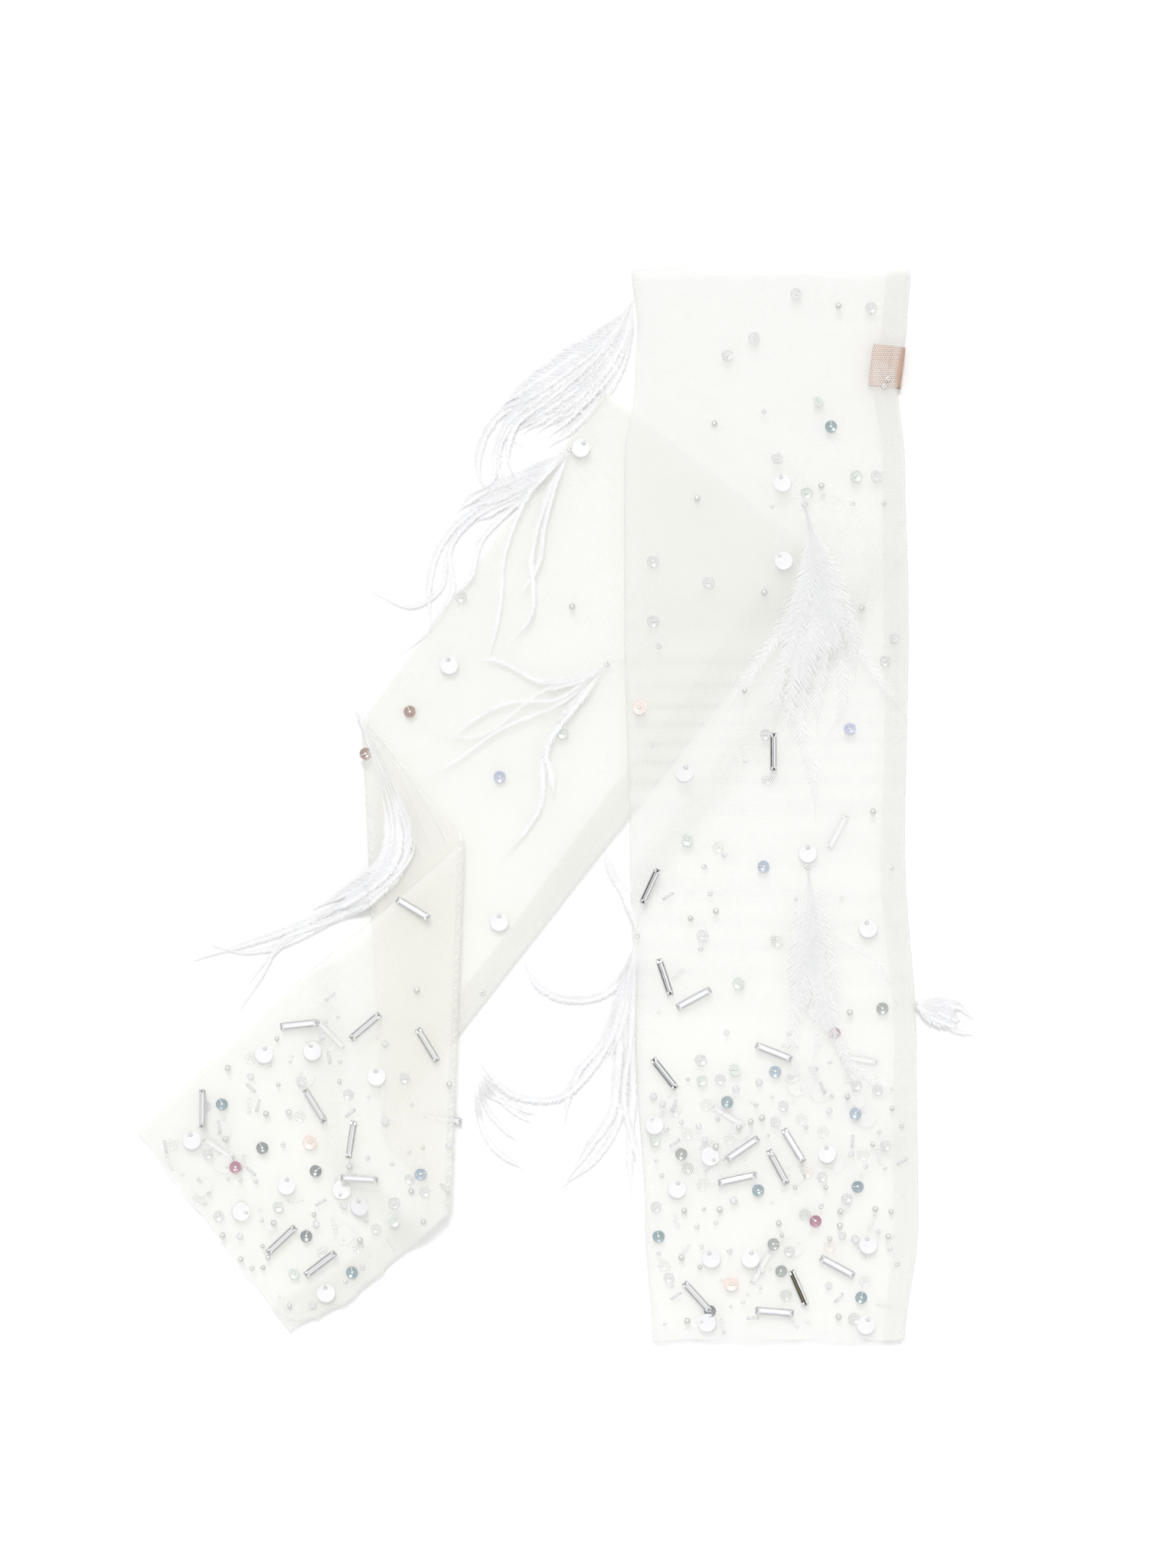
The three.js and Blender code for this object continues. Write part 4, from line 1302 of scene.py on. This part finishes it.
def ring_bead(radius, thick, segments, sides, middle):
    """A small doughnut bead round Z."""
    points, faces = [], []
    for i in range(segments):
        turn = 2 * math.pi * i / segments
        for k in range(sides):
            roll = 2 * math.pi * k / sides
            out = radius + thick * math.cos(roll)
            points.append((middle[0] + out * math.cos(turn), middle[1] + out * math.sin(turn),
                           middle[2] + thick * math.sin(roll)))
            a, b = (i + 1) % segments, (k + 1) % sides
            faces.append((i * sides + k, a * sides + k, a * sides + b, i * sides + b))
    return points, faces


def thread_bar(half_wide, stops):
    """A flat thread along X through its stops of (x, z)."""
    return block([[(x, -half_wide, z), (x, half_wide, z), (x, half_wide, z + thread_deep),
                   (x, -half_wide, z + thread_deep)] for x, z in stops])


hole_at = disc_radius - hole_in
disc_solid = pierced_disc(disc_radius, hole_radius, hole_at, dish=0.35, segments=40, thick=disc_thick)
hole_bead = ring_bead(radius=0.62, thick=0.42, segments=10, sides=6, middle=(hole_at, 0, 0.75))
holding_thread = thread_bar(0.11, [(hole_at, 0.3), (hole_at + 0.7, 0.75), (disc_radius - 0.3, 0.62),
                                   (disc_radius + 0.1, 0.1)])
bead_solid = joined_solids([hole_bead, holding_thread])
hinges = {joint["child"]: joint for joint in frame["joints"] if joint["type"] == "hinge"}
for side in ("right", "left"):
    for i in range(1, 11):
        name = f"{side}_paillette_{i:02d}"
        points = node_points(name)
        normal = np.linalg.svd(points - points.mean(0), full_matrices=False)[2][2]
        normal = normal if normal[2] > 0 else -normal
        across = -np.array(hinges[name]["axis"], float)
        to_hole = np.cross(normal, across)
        to_hole /= np.linalg.norm(to_hole)
        rim = (np.array(hinges[name]["pos_m"], float) - hem_middle) * 1000
        foot = rim - to_hole * disc_radius
        seat = (foot, to_hole, np.cross(normal, to_hole), normal)
        seated[side].append((foot[0], foot[1], 7.0))
        disc = laid_solids(name + "_disc", disc_solid, [seat], film_finish, True)
        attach(disc, name)
        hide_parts(name)
        bead = laid_solids(name + "_bead", bead_solid, [seat], bead_finish, True)
        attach(bead, name)

# ---------------------------------------------------------------- cup sequins, pearls and beads
# Small trims sewn one by one to the outside of the net, few at the shoulder and crowded at the
# wrist. Those on the back layer lie under it and show dimly through both layers.

forearm_reach = 215

# Each cup carries its colour's number, in tenths, in the attribute tint
cup_colours = {"clear": (0.8, 0.81, 0.8), "teal": (0.26, 0.36, 0.38), "slate": (0.4, 0.48, 0.56),
               "olive": (0.38, 0.4, 0.36), "wine": (0.42, 0.16, 0.24), "blush": (0.93, 0.78, 0.7),
               "smoke": (0.22, 0.24, 0.24), "lilac": (0.48, 0.52, 0.68), "brown": (0.34, 0.22, 0.16),
               "mint": (0.72, 0.77, 0.7)}
tint_of = {name: i / 10 + 0.02 for i, name in enumerate(cup_colours)}
sequin_finish, bench, spot = new_finish("cup_sequin_film")
tint = bench.node("ShaderNodeAttribute", {"attribute_type": "GEOMETRY", "attribute_name": "tint"},
                  output=2)
cup_tones = bench.ramp(tint, [(i / 10, colour) for i, colour in enumerate(cup_colours.values())],
                       "CONSTANT")
gleam = bench.noise(spot, 240.0)
sheen_tone = bench.node("ShaderNodeMix", {"data_type": "RGBA"},
                        {0: gleam * 0.3, 6: cup_tones, 7: (0.9, 0.9, 0.93, 1)}, output=2)
clearness = 1.0 - 0.6 * (tint < 0.05)
finish_with(bench, {"Base Color": sheen_tone, "Roughness": 0.15 + 0.2 * gleam, "Metallic": 0.2,
                    "Coat Weight": 0.5, "Coat Roughness": 0.08, "Alpha": clearness})

pearl_finish = mottled_finish("pearl_lustre", 420.0,
                              [(0.3, (0.68, 0.68, 0.65)), (0.7, (0.86, 0.85, 0.82))],
                              lambda bench, grain: {"Roughness": 0.12 + 0.08 * grain, "Metallic": 0.35,
                                                    "Coat Weight": 0.9, "Coat Roughness": 0.04})
glass_finish = mottled_finish("clear_trim_glass", 520.0,
                              [(0.3, (0.78, 0.79, 0.8)), (0.7, (0.93, 0.93, 0.94))],
                              lambda bench, grain: {"Roughness": 0.1 + 0.1 * grain,
                                                    "Coat Weight": 0.6, "Alpha": 0.4 + 0.3 * grain})


def circle(radius, segments, height, shift=0.0):
    """A ring of points round Z, turned by a share of one segment."""
    turns = [2 * math.pi * (k + shift) / segments for k in range(segments)]
    return [(math.cos(turn) * radius, math.sin(turn) * radius, height) for turn in turns]


def ball(radius, segments, rings, middle_height):
    slopes = [math.pi * (i / rings - 0.5) for i in range(1, rings)]
    return block([circle(math.cos(slope) * radius, segments, middle_height + math.sin(slope) * radius)
                  for slope in slopes])


def cut_round(radius, facets, height):
    """A round faceted stone with a flat table."""
    return block([circle(radius * 0.5, facets, 0.1), circle(radius, facets, height * 0.45),
                  circle(radius * 0.97, facets, height * 0.6),
                  circle(radius * 0.72, facets, height * 0.9, 0.5),
                  circle(radius * 0.45, facets, height)])


def tube_bar(long, radius, sides):
    """A cut tube lying along X with its underside at zero."""
    return block([[(x, y, radius + z) for y, z, _ in circle(radius, sides, 0)]
                  for x in (-long / 2, -long / 6, long / 6, long / 2)])


trim_shapes = {
    "cup_sequins": (pierced_disc(radius=3.2, hole=0.55, hole_at=0.0, dish=0.75, segments=12, thick=0.14),
                    sequin_finish, "sequin"),
    "cup_threads": (thread_bar(0.22, [(0, 1.25), (1.2, 1.2), (2.6, 1.3), (3.3, 0.7)]),
                    thread_finish, "pearl"),
    "cup_hearts": (ball(radius=0.85, segments=8, rings=5, middle_height=0.9), thread_finish, "pearl"),
    "pearls": (ball(radius=1.75, segments=10, rings=7, middle_height=1.75), pearl_finish, "pearl"),
    "seed_beads": (ring_bead(radius=0.75, thick=0.5, segments=8, sides=5, middle=(0, 0, 0.5)),
                   bead_finish, "pearl"),
    "bugle_beads": (tube_bar(long=6.5, radius=0.75, sides=6), glass_finish, "pearl"),
    "round_stones": (cut_round(radius=2.2, facets=8, height=2.0), glass_finish, "crystal"),
    "loose_paillettes": (pierced_disc(disc_radius, hole_radius, hole_at, dish=0.3, segments=16,
                                      thick=disc_thick), film_finish, "paillette"),
}

# Cups, pearls and seed beads that have their own places, cups as (x, y, colour)
placed_cups = {
    "right": [(32, -82, "teal"), (45, -108, "mint"), (42, -240, "lilac"), (-3, -312, "slate"),
              (-22, -435, "teal"), (3, -419, "slate"), (45, -441, "slate"), (-46, -462, "olive"),
              (-6, -481, "teal"), (46, -479, "teal"), (-58, -505, "teal"), (24, -497, "wine"),
              (2, -509, "olive"), (6, -523, "olive"), (-20, -530, "blush"), (-31, -544, "smoke"),
              (48, -537, "teal"), (44, -548, "clear"), (-61, -153, "clear"), (-32, -164, "clear"),
              (-68, -229, "blush"), (53, -20, "clear"), (14, -13, "clear"), (-8, -36, "clear"),
              (-22, -45, "clear"), (4, -99, "clear"), (19, -117, "mint"), (-61, -184, "clear"),
              (-43, -298, "mint"), (-16, -373, "mint"), (59, -386, "olive"), (34, -399, "wine"),
              (-35, -348, "clear"), (-18, -418, "mint"), (-36, -413, "clear"), (56, -108, "clear")],
    "left": [(-188, -231, "brown"), (-141, -265, "lilac"), (-211, -253, "brown"), (-161, -171, "clear"),
             (-286, -436, "teal"), (-265, -459, "smoke"), (-237, -471, "smoke"), (-240, -456, "blush"),
             (-242, -505, "smoke"), (-196, -487, "clear"), (-182, -472, "slate"), (-279, -469, "wine"),
             (-218, -524, "teal"), (-108, -242, "mint")],
}
placed_pearls = {
    "right": [(36, -19), (54, -283), (-28, -335), (42, -388), (-4, -443), (-28, -458), (1, -462),
              (-26, -491), (37, -492), (-46, -516), (-66, -479), (-43, -549), (36, -547),
              (-29, -81), (27, -113), (-38, -120), (-3, -169), (48, -177)],
    "left": [(-103, -176), (-184, -376), (-283, -417), (-284, -454), (-263, -441), (-167, -425),
             (-219, -468), (-259, -498), (-214, -507), (-162, -484)],
}
placed_beads = {
    "right": [(2, -349), (-58, -197), (-34, -312), (-31, -326), (-36, -355), (62, -57), (60, -61)],
    "left": [(-150, -378)],
}


def right_spot(rng, share):
    """A random place on the right sleeve at a share of its length."""
    side = rng.uniform(0.04, 0.96)
    left = -right_half + drift_at(share, 1)
    right = right_half + drift_at(share, 2)
    return left + (right - left) * side, -right_long * share


def left_spot(rng, share):
    """A random place on the left forearm, at that share of the way from its upper end."""
    hem = ends_of(forearm_rows[-1])
    across = hem[1] - hem[0]
    up = unit(np.array([-across[1], across[0]]))
    up = up if up[1] > 0 else -up
    return tuple(hem[0] + across * rng.uniform(0.03, 0.97) + up * (1 - share) * forearm_reach)


def scatter(side, rng, count, share_of, spot_of, taken, gap):
    """Random places that keep clear of one another and of what is already sewn on."""
    found = []
    for _ in range(count * 30):
        x, y = spot_of(rng, share_of(rng))
        if side == "left" and top_at(x, y, ("right",)) > 0:
            continue
        if all((x - a) ** 2 + (y - b) ** 2 > max(gap, c) ** 2 for a, b, c in taken + found):
            found.append((x, y, gap))
        if len(found) == count:
            break
    return found


def wrist_share(rng):
    """Crowded along the last quarter of the right sleeve."""
    return 1 - 0.245 * rng.uniform(0.03, 1) ** 0.85


def arm_share(rng):
    """Few and far between, thinning out towards the shoulder."""
    return 0.76 - 0.7 * rng.uniform(0, 1) ** 1.6


def forearm_share(rng):
    """Crowded at the left wrist, thinning out towards the pleat."""
    return 1 - 0.62 * rng.uniform(0.02, 1) ** 1.15


trims = {(side, kind): [] for side in ("right", "left") for kind in trim_shapes}


def sew(side, kind, x, y, rng, behind=False, colour="clear", size=1.0):
    """Adds one trim on the front layer, or under the back one."""
    if kind == "cup_sequins" and not behind:
        sew(side, "cup_threads", x, y, rng, size=size)
        sew(side, "cup_hearts", x, y, rng, size=size)
    if behind:
        under = under_at(x, y, side)
        if under is None or under > 4:
            return
        tall = {"loose_paillettes": 0.5, "cup_sequins": 1.0, "seed_beads": 1.0}.get(kind, 2.0)
        height = max(under - tall - 0.15, 0.15)
    else:
        height = top_at(x, y, (side,)) - 0.05
        if height <= 0:
            return
    loose = kind in ("cup_sequins", "loose_paillettes") and not behind
    tilt = 0.16 if loose else 0.03
    turn = (rng.uniform(-tilt, tilt), rng.uniform(-tilt, tilt), rng.uniform(0, 6.28))
    if loose:
        height += 0.5
    trims[side, kind].append((x, y, height, turn, tint_of[colour], size))


# Side, where, how crowded, how many in front, how many behind, seed
plans = [("right", right_spot, wrist_share, 86, 60, 21), ("right", right_spot, arm_share, 24, 12, 22),
         ("left", left_spot, forearm_share, 70, 46, 23)]
front_gap = 5.6
back_gap = 6.5
taken = {side: list(places) for side, places in seated.items()}
rng = np.random.default_rng(77)
for side in ("right", "left"):
    for x, y, colour in placed_cups[side]:
        sew(side, "cup_sequins", x, y, rng, colour=colour, size=1.2 if colour == "blush" else 1.0)
        taken[side].append((x, y, 4.0))
    for x, y in placed_pearls[side]:
        sew(side, "pearls", x, y, rng)
        taken[side].append((x, y, 3.0))
    for x, y in placed_beads[side]:
        sew(side, "seed_beads", x, y, rng, size=1.2)
        taken[side].append((x, y, 2.0))

cup_picks = ["clear"] * 6 + ["mint", "olive", "blush", "lilac"]
for side, spot_of, share_of, front_count, back_count, seed in plans:
    rng = np.random.default_rng(seed)
    for x, y, gap in scatter(side, rng, front_count, share_of, spot_of, taken[side], front_gap):
        taken[side].append((x, y, gap))
        pick = rng.uniform()
        if pick < 0.24:
            sew(side, "cup_sequins", x, y, rng, colour=cup_picks[rng.integers(0, 7)], size=0.9)
        elif pick < 0.42:
            sew(side, "pearls", x, y, rng, size=rng.uniform(0.7, 1.0))
        elif pick < 0.74:
            sew(side, "seed_beads", x, y, rng, size=rng.uniform(0.8, 1.2))
        elif pick < 0.84:
            sew(side, "bugle_beads", x, y, rng)
        elif pick < 0.96:
            sew(side, "round_stones", x, y, rng, size=rng.uniform(0.7, 1.1))
        else:
            sew(side, "loose_paillettes", x, y, rng)
    for x, y, _ in scatter(side, rng, back_count, share_of, spot_of, [], back_gap):
        pick = rng.uniform()
        if pick < 0.35:
            sew(side, "cup_sequins", x, y, rng, True, cup_picks[rng.integers(0, 10)])
        elif pick < 0.55:
            sew(side, "seed_beads", x, y, rng, True)
        elif pick < 0.75:
            sew(side, "bugle_beads", x, y, rng, True, size=1.3)
        elif pick < 0.9:
            sew(side, "loose_paillettes", x, y, rng, True)
        else:
            sew(side, "pearls", x, y, rng, True, size=0.55)
for name, (x, y, _) in tuft_roots.items():
    side = name.split("_")[0]
    if top_at(x, y, (side,)) > 0:
        sew(side, "seed_beads", x, y, rng, size=1.3)

trim_tree, bench, given = new_tree("sewn_trims", [("Trim", "Object"), ("Finish", "Material")])
shape = bench.node("GeometryNodeObjectInfo", {}, {"Object": given["Trim"]}, output=4)
turn = bench.node("GeometryNodeInputNamedAttribute", {"data_type": "FLOAT_VECTOR"}, {"Name": "turn"})
size = bench.node("GeometryNodeInputNamedAttribute", {"data_type": "FLOAT"}, {"Name": "size"})
placed = bench.node("GeometryNodeInstanceOnPoints", {},
                    {"Points": given["Geometry"], "Instance": shape,
                     "Rotation": bench.node("FunctionNodeEulerToRotation", {}, [turn]),
                     "Scale": size})
close_tree(bench, placed, given["Finish"])

unturned_seat = (np.zeros(3), *np.eye(3))
for kind, (solid, material, slot_name) in trim_shapes.items():
    smooth = kind != "round_stones"
    model = laid_solids(kind + "_shape", solid, [unturned_seat], material, smooth)
    model.data.transform(Matrix.Translation(-Vector(hem_middle)))
    for side in ("right", "left"):
        spots = trims[side, kind]
        if not spots:
            continue
        holder = new_mesh(f"{side}_{kind}_spots", in_place([s[:3] for s in spots]), [], material)
        marks = holder.data.attributes
        marks.new("turn", "FLOAT_VECTOR", "POINT").data.foreach_set(
            "vector", np.array([s[3] for s in spots]).ravel())
        marks.new("tint", "FLOAT", "POINT").data.foreach_set("value", [s[4] for s in spots])
        marks.new("size", "FLOAT", "POINT").data.foreach_set("value", [s[5] for s in spots])
        piece = grown(f"{side}_{kind}", holder, trim_tree, {"Trim": model, "Finish": material})
        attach(piece, side + "_sleeve")
    bpy.data.objects.remove(model)

# ---------------------------------------------------------------- sizes
low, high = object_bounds()
